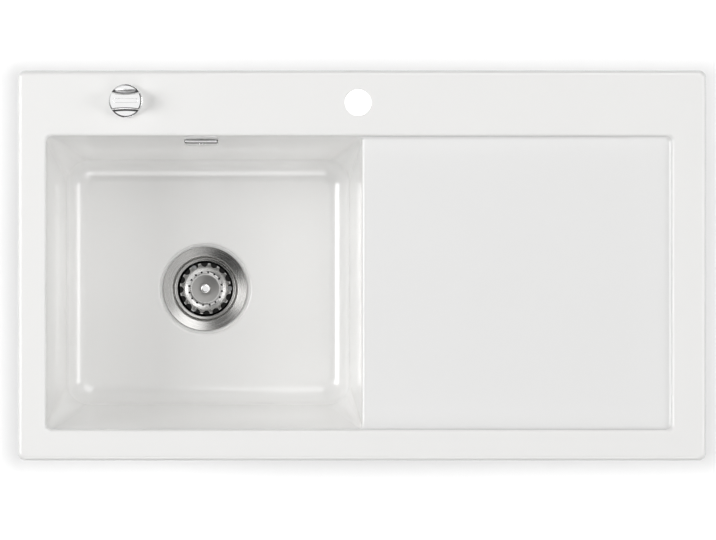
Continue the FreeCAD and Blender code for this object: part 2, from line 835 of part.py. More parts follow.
# --- moulded waste body under the bowl ---
def make_waste_body():
    mouth = "(step_radius + sheet_thickness + body_mouth_clearance)"
    mouth_floor = f"({BODY_TOP} - body_mouth_clearance - 2 * sheet_thickness)"
    flange_under_side = f"({BODY_TOP} - body_flange_thickness)"
    body = turned(
        "waste_body", WASTE,
        [
            (mouth, BODY_TOP),
            ("body_flange_radius", BODY_TOP),
            ("body_flange_radius", flange_under_side),
            ("body_neck_radius", flange_under_side),
            ("body_neck_radius", f"{LEDGE_UNDER} + cone_height"),
            (CHAMBER_OUTER, LEDGE_UNDER),
            (CHAMBER_OUTER, CHAMBER_FLOOR),
            ("outlet_thread_radius", OUTLET_TOP),
            ("outlet_thread_radius", f"{OUTLET_TOP} - outlet_length"),
            ("outlet_radius", f"{OUTLET_TOP} - outlet_length"),
            ("outlet_radius", f"{OUTLET_TOP} + chamber_wall / 2"),
            ("chamber_radius", f"{CHAMBER_FLOOR} + chamber_wall / 2"),
            ("chamber_radius", LEDGE_UNDER),
            ("body_ledge_radius", LEDGE_UNDER),
            ("body_ledge_radius", LEDGE_TOP),
            (BODY_BORE, LEDGE_TOP),
            (BODY_BORE, mouth_floor),
            (mouth, mouth_floor),
        ],
    )
    # Overflow inlet to the back: a socket for the pipe with a bore into the chamber.
    inlet = new_sketch(body, "inlet", "XZ_Plane", offset=f"-{CHAMBER_OUTER} + chamber_wall / 2")
    draw_circle(inlet, "0", INLET_Z, "spigot_radius")
    extrude(body, "Pad", "inlet_pad", inlet, "inlet_length + chamber_wall / 2", reverse=True)
    bore = new_sketch(body, "inlet_bore", "XZ_Plane", offset=f"-{CHAMBER_OUTER} - 2 * inlet_length")
    draw_circle(bore, "0", INLET_Z, "pipe_bore")
    extrude(body, "Pocket", "inlet_bore_cut", bore, f"{CHAMBER_OUTER} + 2 * inlet_length", reverse=True)
    socket = new_sketch(body, "inlet_socket", "XZ_Plane", offset=f"-{CHAMBER_OUTER} - inlet_length")
    draw_circle(socket, "0", INLET_Z, "pipe_radius + pipe_fit")
    extrude(body, "Pocket", "inlet_socket_cut", socket, "pipe_insert", reverse=True)
    # Boss on the left for the lifter shaft: a wide bore for its gland, then a close bore.
    boss = new_sketch(body, "boss", "YZ_Plane", offset=f"-{BOSS_END}")
    draw_circle(boss, "-lifter_offset", SHAFT_Z, "boss_radius")
    extrude(body, "Pad", "boss_pad", boss, "boss_length + chamber_wall / 2")
    wide = new_sketch(body, "gland_bore", "YZ_Plane", offset=f"-{BOSS_END}")
    draw_circle(wide, "-lifter_offset", SHAFT_Z, "gland_bore_radius")
    extrude(body, "Pocket", "gland_bore_cut", wide, "gland_bore_depth", reverse=True)
    close = new_sketch(body, "shaft_bore", "YZ_Plane", offset=f"-{BOSS_END}")
    draw_circle(close, "-lifter_offset", SHAFT_Z, "lifter_shaft_radius + shaft_fit")
    extrude(body, "Pocket", "shaft_bore_cut", close, BOSS_END, reverse=True)
    # Clear the chamber again, where the boss and the inlet reach into it.
    inside = new_sketch(body, "chamber_inside", offset=f"{CHAMBER_FLOOR} + chamber_wall / 2")
    draw_circle(inside, "0", "0", "chamber_radius")
    height = "(chamber_height - chamber_wall / 2)"
    extrude(body, "Pocket", "chamber_inside_cut", inside, height, reverse=True)
    drill = new_sketch(body, "screw_hole", offset=LEDGE_TOP)
    draw_circle(drill, "cup_screw_circle", "0", "cup_screw_radius + part_gap")
    hole = extrude(body, "Pocket", "screw_hole_cut", drill, "cup_screw_length")
    around(body, "screw_hole_ring", hole, "cup_screw_count")


BOSS_START = f"sqrt({CHAMBER_OUTER} ^ 2 - lifter_offset ^ 2)"
BOSS_END = f"({BOSS_START} + boss_length)"



# --- basket: crown of teeth, drain holes, knob, and the plug on its foot ---
PLUG_LOW = "(-cup_drop + plug_gap)"
PLUG_TOP = f"({PLUG_LOW} + plug_thickness)"
BASKET_FLOOR = f"({PLUG_TOP} + basket_foot)"
BASKET_TOP = f"({BASKET_FLOOR} + basket_height)"


def make_strainer_basket():
    inside = f"({BASKET_FLOOR} + basket_sheet)"
    dish = f"({inside} - 0.5 * bead_height)"
    body = turned(
        "strainer_basket", WASTE,
        [
            ("0", BASKET_FLOOR),
            ("basket_base_radius", BASKET_FLOOR),
            ("basket_radius + basket_sheet", BASKET_TOP),
            ("basket_radius", BASKET_TOP),
            ("basket_base_radius - 0.5 * basket_sheet", inside),
            ("basket_bead_radius + bead_height", inside),
            ("basket_bead_radius", f"{inside} + bead_height"),
            ("basket_dish_radius", f"{inside} + bead_height"),
            ("basket_knob_neck + bead_height", dish),
            ("0", dish),
        ],
    )
    holes = new_sketch(body, "drain_hole", offset=f"{BASKET_FLOOR} - basket_sheet")
    across = "drain_hole_circle * cos(tooth_angle)"
    along = "drain_hole_circle * sin(tooth_angle)"
    draw_circle(holes, across, along, "drain_hole_radius")
    hole = extrude(body, "Pocket", "drain_hole_cut", holes, "basket_height", reverse=True)
    around(body, "drain_hole_ring", hole, "tooth_count")
    half_step = "(tooth_angle + 180 / tooth_count)"
    notches = new_sketch(body, "notch", offset=f"{BASKET_FLOOR} + basket_sheet + bead_height")
    draw_circle(
        notches, f"notch_circle * cos({half_step})", f"notch_circle * sin({half_step})",
        "notch_radius",
    )
    notch = extrude(body, "Pocket", "notch_cut", notches, "2 * basket_height", reverse=True)
    around(body, "notch_ring", notch, "tooth_count")


def make_basket_foot():
    """Stem under the basket that carries the plug and stands on the lift pin."""
    pin_bore = "(pin_radius + pin_fit)"
    turned(
        "basket_stem", WASTE,
        [
            (pin_bore, f"{PLUG_LOW} - retainer_thickness"),
            ("stem_radius", f"{PLUG_LOW} - retainer_thickness"),
            ("stem_radius", f"{BASKET_FLOOR} - part_gap / 2"),
            ("0", f"{BASKET_FLOOR} - part_gap / 2"),
            ("0", f"{PLUG_LOW} - retainer_thickness + socket_depth"),
            (pin_bore, f"{PLUG_LOW} - retainer_thickness + socket_depth"),
        ],
    )
    turned(
        "basket_plug", WASTE,
        ring_profile("stem_radius + part_gap", "plug_radius", PLUG_LOW, PLUG_TOP),
    )
    clip = "(stem_radius + part_gap)"
    turned(
        "plug_retainer", WASTE,
        ring_profile(
            clip, "retainer_radius",
            f"{PLUG_LOW} - part_gap - retainer_thickness", f"{PLUG_LOW} - part_gap",
        ),
    )
    turned(
        "plug_collar", WASTE,
        ring_profile(
            clip, "retainer_radius",
            f"{PLUG_TOP} + part_gap", f"{PLUG_TOP} + part_gap + retainer_thickness",
        ),
    )


def make_basket_knob():
    foot = f"({BASKET_FLOOR} + basket_sheet - 0.5 * bead_height + part_gap / 2)"
    head = "basket_knob_radius"
    neck = "basket_knob_neck"
    turned(
        "basket_knob", WASTE,
        [
            ("0", foot),
            (f"{neck} + 0.6", foot),
            (neck, f"{foot} + 0.6"),
            (neck, f"{foot} + 0.5 * basket_knob_height"),
            (f"{head} - 0.8", f"{foot} + 0.7 * basket_knob_height"),
            (head, f"{foot} + 0.8 * basket_knob_height"),
            (f"{head} - 0.5", f"{foot} + 0.95 * basket_knob_height"),
            (f"{head} - 2", f"{foot} + basket_knob_height"),
            ("0", f"{foot} + basket_knob_height"),
        ],
    )


# --- lift pin, its guide and the lifter that raises it ---
PIN_TOP = f"({PLUG_LOW} - retainer_thickness + socket_depth - pin_fit)"
GUIDE_TOP = f"({LEDGE_TOP} - guide_drop)"
TIP_DROP = "(lifter_offset * sin(lifter_half_swing))"
PIN_LOW = f"({SHAFT_Z} - {TIP_DROP} + lifter_tip_radius + lifter_tip_gap)"


def make_lift_pin():
    turned(
        "lift_pin", WASTE,
        [
            ("0", PIN_LOW),
            ("pin_radius - pin_chamfer", PIN_LOW),
            ("pin_radius", f"{PIN_LOW} + pin_chamfer"),
            ("pin_radius", PIN_TOP),
            ("0", PIN_TOP),
        ],
    )


def make_pin_guide():
    """A three-armed spider pressed into the ledge's bore."""
    outer = "(body_ledge_radius - part_gap)"
    body = turned(
        "pin_guide", WASTE,
        ring_profile(
            f"{outer} - guide_ring_wall", outer, f"{GUIDE_TOP} - guide_height", GUIDE_TOP
        ),
    )
    arm = new_sketch(body, "arm", offset=f"{GUIDE_TOP} - guide_height")
    reach = f"({outer} - guide_ring_wall / 2)"
    draw_polygon(
        arm,
        [
            ("0", "-guide_arm_width / 2"), (reach, "-guide_arm_width / 2"),
            (reach, "guide_arm_width / 2"), ("0", "guide_arm_width / 2"),
        ],
    )
    arm_pad = extrude(body, "Pad", "arm_pad", arm, "guide_height")
    around(body, "arm_ring", arm_pad, "cup_screw_count")
    hub = new_sketch(body, "hub", offset=f"{GUIDE_TOP} - guide_height")
    draw_circle(hub, "0", "0", "guide_hub_radius")
    extrude(body, "Pad", "hub_pad", hub, "guide_height")
    bore = new_sketch(body, "bore", offset=f"{GUIDE_TOP} - guide_height")
    draw_circle(bore, "0", "0", "pin_radius + shaft_fit")
    extrude(body, "Pocket", "bore_cut", bore, "guide_height", reverse=True)


ALONG_X = (Vector(0, 1, 0), "90 deg")
SHAFT_PLACE = ("-waste_left", "-waste_front - lifter_offset", f"{FLOOR_Z} + {SHAFT_Z}")
GLAND_HEAD_START = f"({BOSS_END} + bracket_thickness + 2 * part_gap)"
GLAND_HEAD_END = f"({GLAND_HEAD_START} + gland_head_length)"
ARM_START = f"({GLAND_HEAD_END} + arm_gap)"
ARM_END = f"({ARM_START} + arm_thickness)"


def make_lifter_shaft():
    """The shaft lies along X: local heights are distances to the right of the waste's axis."""
    body = turned(
        "lifter_shaft", SHAFT_PLACE,
        [
            ("0", f"-{ARM_END}"),
            ("lifter_shaft_radius", f"-{ARM_END}"),
            ("lifter_shaft_radius", "finger_width"),
            ("0", "finger_width"),
        ],
        turn=ALONG_X,
    )
    tap = new_sketch(body, "screw_bore", offset=f"-{ARM_END}")
    draw_circle(tap, "0", "0", "arm_screw_radius + part_gap")
    extrude(body, "Pocket", "screw_bore_cut", tap, "arm_screw_length", reverse=True)


def draw_lever(drawn, hub_y, hub_z, tip_y, tip_z, half_width):
    """The straight sides of a lever between two round ends, as a four-sided web."""
    length = f"sqrt(({tip_y} - ({hub_y})) ^ 2 + ({tip_z} - ({hub_z})) ^ 2)"
    side_y = f"({half_width} * ({tip_z} - ({hub_z})) / {length})"
    side_z = f"({half_width} * ({tip_y} - ({hub_y})) / {length})"
    draw_polygon(
        drawn,
        [
            (f"{hub_y} + {side_y}", f"{hub_z} - {side_z}"),
            (f"{tip_y} + {side_y}", f"{tip_z} - {side_z}"),
            (f"{tip_y} - {side_y}", f"{tip_z} + {side_z}"),
            (f"{hub_y} - {side_y}", f"{hub_z} + {side_z}"),
        ],
    )


def make_lever(label, start, thickness, hub_radius, tip_radius, tip_y, tip_z, bore):
    """A lever in a plane across X, with a hub on the shaft and a round tip."""
    body = new_body(label, SHAFT_PLACE)
    for name, y, z, radius in (("hub", "0", "0", hub_radius), ("tip", tip_y, tip_z, tip_radius)):
        drawn = new_sketch(body, name, "YZ_Plane", offset=start)
        draw_circle(drawn, y, z, radius)
        extrude(body, "Pad", f"{name}_pad", drawn, thickness)
        if name == "hub":
            web = new_sketch(body, "web", "YZ_Plane", offset=start)
            draw_lever(web, "0", "0", tip_y, tip_z, f"0.9 * {tip_radius}")
            extrude(body, "Pad", "web_pad", web, thickness)
    hole = new_sketch(body, "bore", "YZ_Plane", offset=start)
    draw_circle(hole, "0", "0", bore)
    extrude(body, "Pocket", "bore_cut", hole, thickness, reverse=True)
    return body


def make_levers():
    swing = "lifter_half_swing"
    fit = "lifter_shaft_radius + shaft_fit"
    make_lever(
        "lifter_finger", "-finger_width / 2", "finger_width", "finger_hub_radius",
        "lifter_tip_radius", f"(lifter_offset * cos({swing}))", f"(-{TIP_DROP})", fit,
    )
    arm_y = f"(-arm_length * sin({swing}))"
    arm_z = f"(-arm_length * cos({swing}))"
    body = make_lever(
        "lifter_arm", f"-{ARM_END}", "arm_thickness", "arm_hub_radius", "arm_tip_radius",
        arm_y, arm_z, fit,
    )
    nipple = new_sketch(body, "nipple", "YZ_Plane", offset=f"-{ARM_END}")
    draw_circle(nipple, arm_y, arm_z, "nipple_hole_radius")
    extrude(body, "Pocket", "nipple_cut", nipple, "arm_thickness", reverse=True)


def make_arm_screw():
    turned(
        "arm_screw", SHAFT_PLACE,
        [
            ("0", f"-{ARM_END} - part_gap - arm_screw_head_height"),
            ("arm_screw_head_radius", f"-{ARM_END} - part_gap - arm_screw_head_height"),
            ("arm_screw_head_radius", f"-{ARM_END} - part_gap"),
            ("arm_screw_radius", f"-{ARM_END} - part_gap"),
            ("arm_screw_radius", f"-{ARM_END} + arm_screw_length - 2 * part_gap"),
            ("0", f"-{ARM_END} + arm_screw_length - 2 * part_gap"),
        ],
        turn=ALONG_X,
    )


def make_lifter_gland():
    bore = "(lifter_shaft_radius + shaft_fit)"
    turned(
        "lifter_gland", SHAFT_PLACE,
        [
            (bore, f"-{GLAND_HEAD_END}"),
            ("gland_head_radius", f"-{GLAND_HEAD_END}"),
            ("gland_head_radius", f"-{GLAND_HEAD_START}"),
            ("gland_radius", f"-{GLAND_HEAD_START}"),
            ("gland_radius", f"-{BOSS_END} + gland_length"),
            (bore, f"-{BOSS_END} + gland_length"),
        ],
        turn=ALONG_X,
    )
    ring = new_body("lifter_oring", SHAFT_PLACE, ALONG_X)
    drawn = new_sketch(ring, "section", "XZ_Plane")
    middle = "(gland_bore_radius - oring_section_radius - part_gap)"
    seat = f"(-{BOSS_END} + gland_length + oring_section_radius + part_gap)"
    draw_circle(drawn, middle, seat, "oring_section_radius")
    spin(ring, "Revolution", "turning", drawn)


CABLE_Z = f"(-arm_length * (1 + cos(lifter_half_swing)) / 2)"
CABLE_X = f"(-{ARM_START} - arm_thickness / 2)"


def make_cable_bracket():
    """A plate held under the gland's head, with a flange that carries the cable's gland."""
    body = new_body("cable_bracket", SHAFT_PLACE)
    plate_start = f"(-{BOSS_END} - part_gap - bracket_thickness)"
    half = "bracket_flange_width / 2"
    plate = new_sketch(body, "plate", "YZ_Plane", offset=plate_start)
    draw_polygon(
        plate,
        [
            ("-gland_head_radius", "gland_head_radius"),
            ("-gland_head_radius", "-gland_head_radius"),
            ("gland_head_radius", "-gland_head_radius"),
            (f"bracket_reach - {half}", f"{CABLE_Z} - {half}"),
            ("bracket_reach", f"{CABLE_Z} - {half}"),
            ("bracket_reach", f"{CABLE_Z} + {half}"),
            ("gland_head_radius", "gland_head_radius"),
        ],
    )
    extrude(body, "Pad", "plate_pad", plate, "bracket_thickness")
    flange = new_sketch(body, "flange", "XZ_Plane", offset="-bracket_reach")
    draw_polygon(
        flange,
        [
            (f"{CABLE_X} - {half}", f"{CABLE_Z} - {half}"),
            (f"{plate_start} + bracket_thickness", f"{CABLE_Z} - {half}"),
            (f"{plate_start} + bracket_thickness", f"{CABLE_Z} + {half}"),
            (f"{CABLE_X} - {half}", f"{CABLE_Z} + {half}"),
        ],
    )
    extrude(body, "Pad", "flange_pad", flange, "bracket_thickness")
    eye = new_sketch(body, "gland_eye", "YZ_Plane", offset=plate_start)
    draw_circle(eye, "0", "0", "gland_bore_radius")
    extrude(body, "Pocket", "gland_eye_cut", eye, "bracket_thickness", reverse=True)
    hole = new_sketch(body, "cable_eye", "XZ_Plane", offset="-bracket_reach")
    draw_circle(hole, CABLE_X, CABLE_Z, "cable_gland_radius + part_gap")
    extrude(body, "Pocket", "cable_eye_cut", hole, "bracket_thickness", reverse=True)


def cable_gland_profile(grip):
    """A threaded tube through a wall, with a head on one side and a nut's land on the other."""
    return [
        ("cable_gland_bore", f"-{grip} - part_gap - cable_gland_nut_length"),
        ("cable_gland_nut_radius", f"-{grip} - part_gap - cable_gland_nut_length"),
        ("cable_gland_nut_radius", f"-{grip} - part_gap"),
        ("cable_gland_radius", f"-{grip} - part_gap"),
        ("cable_gland_radius", "cable_gland_length"),
        ("cable_gland_bore", "cable_gland_length"),
    ]


def make_waste_cable_gland():
    place = (
        f"-waste_left + {CABLE_X}",
        "-waste_front - lifter_offset + bracket_reach",
        f"{FLOOR_Z} + {SHAFT_Z} + {CABLE_Z}",
    )
    turned(
        "waste_cable_gland", place, cable_gland_profile("bracket_thickness"),
        turn=(Vector(1, 0, 0), "-90 deg"),
    )
    nut = new_body("waste_gland_nut", place, (Vector(1, 0, 0), "-90 deg"))
    add_hex(nut, "cable_gland_nut_radius", "cable_gland_radius + part_gap", "part_gap",
            "cable_gland_nut_length")


def add_hex(body, radius, bore, start, height):
    """A six-sided nut across its corners' radius, with a plain bore."""
    drawn = new_sketch(body, "hexagon", offset=start)
    draw_polygon(
        drawn,
        [(f"{radius} * cos({60 * i})", f"{radius} * sin({60 * i})") for i in range(6)],
    )
    extrude(body, "Pad", "hexagon_pad", drawn, height)
    hole = new_sketch(body, "nut_bore", offset=start)
    draw_circle(hole, "0", "0", bore)
    extrude(body, "Pocket", "nut_bore_cut", hole, height, reverse=True)


# --- overflow: cover and screw in the bowl, head and rigid pipe behind it ---
WALL_NORMAL = f"(wall_thickness * cos({BACK_TILT}))"
HEAD_FRONT = f"({WALL_NORMAL} + overflow_gasket_thickness + 2 * part_gap)"
HEAD_MIDDLE = f"({HEAD_FRONT} + head_depth / 2)"
SPIGOT_END = "(head_height / 2 + spigot_length)"
ON_WALL = (Vector(1, 0, 0), f"90 deg - {BACK_TILT}")
TO_BACK = (Vector(1, 0, 0), "-90 deg")
SPIGOT_PLACE = (
    "-waste_left",
    f"{OVERFLOW[1]} - {SPIGOT_END} * sin({BACK_TILT}) + {HEAD_MIDDLE} * cos({BACK_TILT})",
    f"{OVERFLOW[2]} - {SPIGOT_END} * cos({BACK_TILT}) - {HEAD_MIDDLE} * sin({BACK_TILT})",
)
INLET_PLACE = (
    "-waste_left",
    f"-waste_front + {CHAMBER_OUTER} + inlet_length",
    f"{FLOOR_Z} + {INLET_Z}",
)


def draw_centred_box(drawn, length, height, radius):
    draw_round_box(
        drawn, f"-{length} / 2", f"-{height} / 2", f"{length} / 2", f"{height} / 2", radius
    )


def make_overflow_cover():
    """A shallow pan over the slot, open along its upper and lower edges."""
    body = new_body("overflow_cover", OVERFLOW, ON_WALL)
    face = new_sketch(body, "face", offset="cover_gap")
    draw_centred_box(face, "cover_length", "cover_height", "cover_corner")
    extrude(body, "Pad", "face_pad", face, "cover_stand_off - cover_gap")
    hollow = new_sketch(body, "hollow", offset="cover_gap")
    inner = ("(cover_length - 2 * cover_sheet)", "(cover_height - 2 * cover_sheet)")
    draw_centred_box(hollow, *inner, "(cover_corner - cover_sheet)")
    depth = "cover_stand_off - cover_gap - cover_sheet"
    extrude(body, "Pocket", "hollow_cut", hollow, depth, reverse=True)
    vent = new_sketch(body, "vents", "XZ_Plane", offset="-cover_height")
    draw_polygon(
        vent,
        [
            ("-cover_vent_length / 2", "0"), ("cover_vent_length / 2", "0"),
            ("cover_vent_length / 2", depth), ("-cover_vent_length / 2", depth),
        ],
    )
    extrude(body, "Pocket", "vents_cut", vent, "2 * cover_height", reverse=True)
    front = value("cover_stand_off")
    round_edges(body, "face_rounding", "cover_round", lambda edge: level(edge, front))
    hole = new_sketch(body, "screw_hole", offset="cover_stand_off")
    draw_circle(hole, "0", "0", "overflow_screw_radius + screw_hole_clearance")
    extrude(body, "Pocket", "screw_hole_cut", hole, "cover_stand_off")


def make_overflow_screw():
    boss_end = f"(-{HEAD_FRONT} - head_depth + head_wall + head_boss_length)"
    tip = f"({boss_end} - overflow_screw_grip)"
    head = "(cover_stand_off + part_gap)"
    body = turned(
        "overflow_screw", OVERFLOW,
        [
            ("0", tip),
            ("overflow_screw_radius", tip),
            ("overflow_screw_radius", head),
            ("overflow_screw_head_radius", head),
            ("overflow_screw_head_radius", f"{head} + 0.8"),
            ("overflow_screw_head_radius - 1", f"{head} + 1.6"),
            ("0", f"{head} + 1.8"),
        ],
        turn=ON_WALL,
    )
    slot = new_sketch(body, "drive", offset=f"{head} + 2")
    draw_polygon(
        slot,
        [("-6", "-0.5"), ("6", "-0.5"), ("6", "0.5"), ("-6", "0.5")],
    )
    extrude(body, "Pocket", "drive_cut", slot, "1")


def make_overflow_gasket():
    body = new_body("overflow_gasket", OVERFLOW, ON_WALL)
    drawn = new_sketch(body, "ring", offset=f"-{HEAD_FRONT} + part_gap")
    draw_centred_box(drawn, "head_length", "head_height", "cover_corner")
    draw_centred_box(
        drawn, "(head_length - 2 * head_wall)", "(overflow_slot_height + 2)", "cover_corner"
    )
    extrude(body, "Pad", "ring_pad", drawn, "overflow_gasket_thickness")


def make_overflow_head():
    body = new_body("overflow_head", OVERFLOW, ON_WALL)
    block = new_sketch(body, "block", offset=f"-{HEAD_FRONT}")
    draw_centred_box(block, "head_length", "head_height", "cover_corner")
    extrude(body, "Pad", "block_pad", block, "head_depth", reverse=True)
    spigot = new_sketch(body, "spigot", "XZ_Plane", offset="head_height / 2 - head_wall / 2")
    draw_circle(spigot, "0", f"-{HEAD_MIDDLE}", "spigot_radius")
    extrude(body, "Pad", "spigot_pad", spigot, "spigot_length + head_wall / 2")
    hollow = new_sketch(body, "hollow", offset=f"-{HEAD_FRONT}")
    draw_centred_box(
        hollow, "(head_length - 2 * head_wall)", "(head_height - 2 * head_wall)", "cover_corner"
    )
    extrude(body, "Pocket", "hollow_cut", hollow, "head_depth - head_wall")
    boss = new_sketch(body, "boss", offset=f"-{HEAD_FRONT} - head_depth + head_wall / 2")
    draw_circle(boss, "0", "0", "head_boss_radius")
    extrude(body, "Pad", "boss_pad", boss, "head_boss_length + head_wall / 2")
    bore = new_sketch(body, "screw_bore", offset=f"-{HEAD_FRONT} - head_depth + head_wall / 2")
    draw_circle(bore, "0", "0", "overflow_screw_radius + part_gap")
    extrude(body, "Pocket", "screw_bore_cut", bore, "head_boss_length + head_wall", reverse=True)
    way = new_sketch(body, "way", "XZ_Plane", offset=SPIGOT_END)
    draw_circle(way, "0", f"-{HEAD_MIDDLE}", "pipe_bore")
    extrude(body, "Pocket", "way_cut", way, "spigot_length + 2 * head_wall")
    socket = new_sketch(body, "socket", "XZ_Plane", offset=SPIGOT_END)
    draw_circle(socket, "0", f"-{HEAD_MIDDLE}", "pipe_radius + pipe_fit")
    extrude(body, "Pocket", "socket_cut", socket, "pipe_insert")


def make_union(name, place, turn):
    """Sealing ring and union nut on a pipe socket: heights run out of the socket along the pipe."""
    bore = "(pipe_radius + pipe_fit)"
    seal_top = "(union_seal_thickness + part_gap)"
    turned(
        f"{name}_seal", place, ring_profile(bore, "spigot_radius", "part_gap", seal_top), turn
    )
    nut = new_body(f"{name}_nut", place, turn)
    lip = f"({seal_top} + part_gap)"
    height = f"union_nut_grip + {lip} + union_nut_lip"
    add_hex(nut, "union_nut_radius", bore, "-union_nut_grip", height)
    thread = new_sketch(nut, "thread", offset="-union_nut_grip")
    draw_circle(thread, "0", "0", "spigot_radius + thread_clearance")
    extrude(nut, "Pocket", "thread_cut", thread, f"union_nut_grip + {lip}", reverse=True)


def make_overflow_pipe():
    """Down behind the bowl, parallel to its wall, round one bend and forward to the waste."""
    body = new_body("overflow_pipe", ("-waste_left", "0", "0"))
    inserted = "(pipe_insert - 2 * pipe_fit)"
    top_y = f"({SPIGOT_PLACE[1]} + {inserted} * sin({BACK_TILT}))"
    top_z = f"({SPIGOT_PLACE[2]} + {inserted} * cos({BACK_TILT}))"
    low_y = f"({INLET_PLACE[1]} - {inserted})"
    low_z = f"({INLET_PLACE[2]})"
    # The bend touches both runs this far from their corner.
    corner_y = f"({top_y} - ({top_z} - {low_z}) * {BACK_SLOPE})"
    reach = f"(pipe_bend_radius * tan((90 deg - {BACK_TILT}) / 2))"
    bend_low_y = f"({corner_y} - {reach})"
    bend_top_y = f"({corner_y} + {reach} * sin({BACK_TILT}))"
    bend_top_z = f"({low_z} + {reach} * cos({BACK_TILT}))"
    centre_z = f"({low_z} + pipe_bend_radius)"
    path = new_sketch(body, "path", "YZ_Plane")
    spots = [
        Vector(value(low_y), value(low_z), 0), Vector(value(bend_low_y), value(low_z), 0),
        Vector(value(bend_top_y), value(bend_top_z), 0), Vector(value(top_y), value(top_z), 0),
    ]
    path.addGeometry(Part.LineSegment(spots[0], spots[1]), False)
    centre = Vector(spots[1].x, value(centre_z), 0)
    whole = Part.Circle(centre, Vector(0, 0, 1), value("pipe_bend_radius"))
    finish = math.atan2(spots[2].y - centre.y, spots[2].x - centre.x)
    path.addGeometry(Part.ArcOfCircle(whole, -math.pi / 2, finish), False)
    path.addGeometry(Part.LineSegment(spots[2], spots[3]), False)
    path.addConstraint(Sketcher.Constraint("Coincident", 0, 2, 1, 1))
    path.addConstraint(Sketcher.Constraint("Coincident", 1, 2, 2, 1))
    fix_point(path, 0, 1, low_y, low_z)
    fix_point(path, 0, 2, bend_low_y, low_z)
    fix_radius(path, 1, "pipe_bend_radius")
    fix_point(path, 2, 1, bend_top_y, bend_top_z)
    fix_point(path, 2, 2, top_y, top_z)
    ring = new_sketch(body, "ring", "XZ_Plane", offset=f"-{low_y}")
    draw_circle(ring, "0", low_z, "pipe_radius")
    draw_circle(ring, "0", low_z, "pipe_bore")
    pipe = body.newObject("PartDesign::AdditivePipe", "overflow_pipe_run")
    pipe.Profile = ring
    pipe.Spine = (path, ["Edge1", "Edge2", "Edge3"])
    doc.recompute()


# --- rotary control on the back deck ---
KNOB_LOW = "(escutcheon_height + knob_gap)"
FLANGE_LOW = "(control_seal_thickness + 2 * part_gap)"
FLANGE_TOP = f"({FLANGE_LOW} + sleeve_flange_thickness)"
SPINDLE_BORE = "(spindle_radius + spindle_fit)"
HOUSING_LOW = "(-sleeve_length - housing_height)"
DRUM_TOP = "(-sleeve_length - housing_roof - drum_gap)"
DRUM_LOW = f"({DRUM_TOP} - drum_height)"
DRUM_MIDDLE = f"({DRUM_TOP} - drum_height / 2)"


def make_escutcheon():
    cavity = "(sleeve_flange_radius + 3 * part_gap)"
    ceiling = "(escutcheon_height - escutcheon_wall)"
    turned(
        "control_escutcheon", CONTROL,
        [
            ("escutcheon_bore", ceiling),
            (cavity, ceiling),
            (cavity, "part_gap"),
            ("escutcheon_radius", "part_gap"),
            ("escutcheon_radius", "escutcheon_height - 0.6 * escutcheon_wall"),
            ("escutcheon_radius - 0.6 * escutcheon_wall", "escutcheon_height"),
            ("escutcheon_bore", "escutcheon_height"),
        ],
    )
    turned(
        "control_seal", CONTROL,
        ring_profile(
            "control_hole_radius + 2 * part_gap", "sleeve_flange_radius",
            "part_gap", "part_gap + control_seal_thickness",
        ),
    )


def make_control_body():
    seal_floor = f"({FLANGE_TOP} - spindle_seal_height - 2 * part_gap)"
    body = turned(
        "control_body", CONTROL,
        [
            (SPINDLE_BORE, "-sleeve_length - 1"),
            ("sleeve_radius", "-sleeve_length - 1"),
            ("sleeve_radius", FLANGE_LOW),
            ("sleeve_flange_radius", FLANGE_LOW),
            ("sleeve_flange_radius", FLANGE_TOP),
            ("spindle_seal_radius + part_gap", FLANGE_TOP),
            ("spindle_seal_radius + part_gap", seal_floor),
            (SPINDLE_BORE, seal_floor),
        ],
    )
    block = new_sketch(body, "housing", offset=HOUSING_LOW)
    draw_centred_box(block, "housing_length", "housing_width", "cover_screw_edge")
    extrude(body, "Pad", "housing_pad", block, "housing_height")
    cavity = new_sketch(body, "drum_cavity", offset=HOUSING_LOW)
    draw_circle(cavity, "0", "0", "drum_cavity_radius")
    extrude(body, "Pocket", "cavity_cut", cavity, "housing_height - housing_roof", reverse=True)
    bore = new_sketch(body, "spindle_bore", offset=HOUSING_LOW)
    draw_circle(bore, "0", "0", SPINDLE_BORE)
    extrude(body, "Pocket", "spindle_bore_cut", bore, "housing_height + 1", reverse=True)
    way = new_sketch(body, "cable_way", "YZ_Plane", offset="housing_length / 2")
    draw_circle(way, "drum_groove_radius", DRUM_MIDDLE, "cable_gland_bore")
    extrude(body, "Pocket", "cable_way_cut", way, "housing_length / 2")
    thread = new_sketch(body, "gland_thread", "YZ_Plane", offset="housing_length / 2")
    draw_circle(thread, "drum_groove_radius", DRUM_MIDDLE, "cable_gland_radius + part_gap")
    extrude(body, "Pocket", "gland_thread_cut", thread, "control_gland_grip")
    screws = new_sketch(body, "screw_bores", offset=HOUSING_LOW)
    draw_corners(screws, "cover_screw_radius + part_gap")
    extrude(body, "Pocket", "screw_bores_cut", screws, "cover_screw_length", reverse=True)


def corner_places():
    """The four corners of the housing, as pairs of expressions from its centre."""
    along = "(housing_length / 2 - cover_screw_edge)"
    across = "(housing_width / 2 - cover_screw_edge)"
    return [(x, y) for x in (along, f"-{along}") for y in (across, f"-{across}")]


def draw_corners(drawn, radius):
    for x, y in corner_places():
        draw_circle(drawn, x, y, radius)


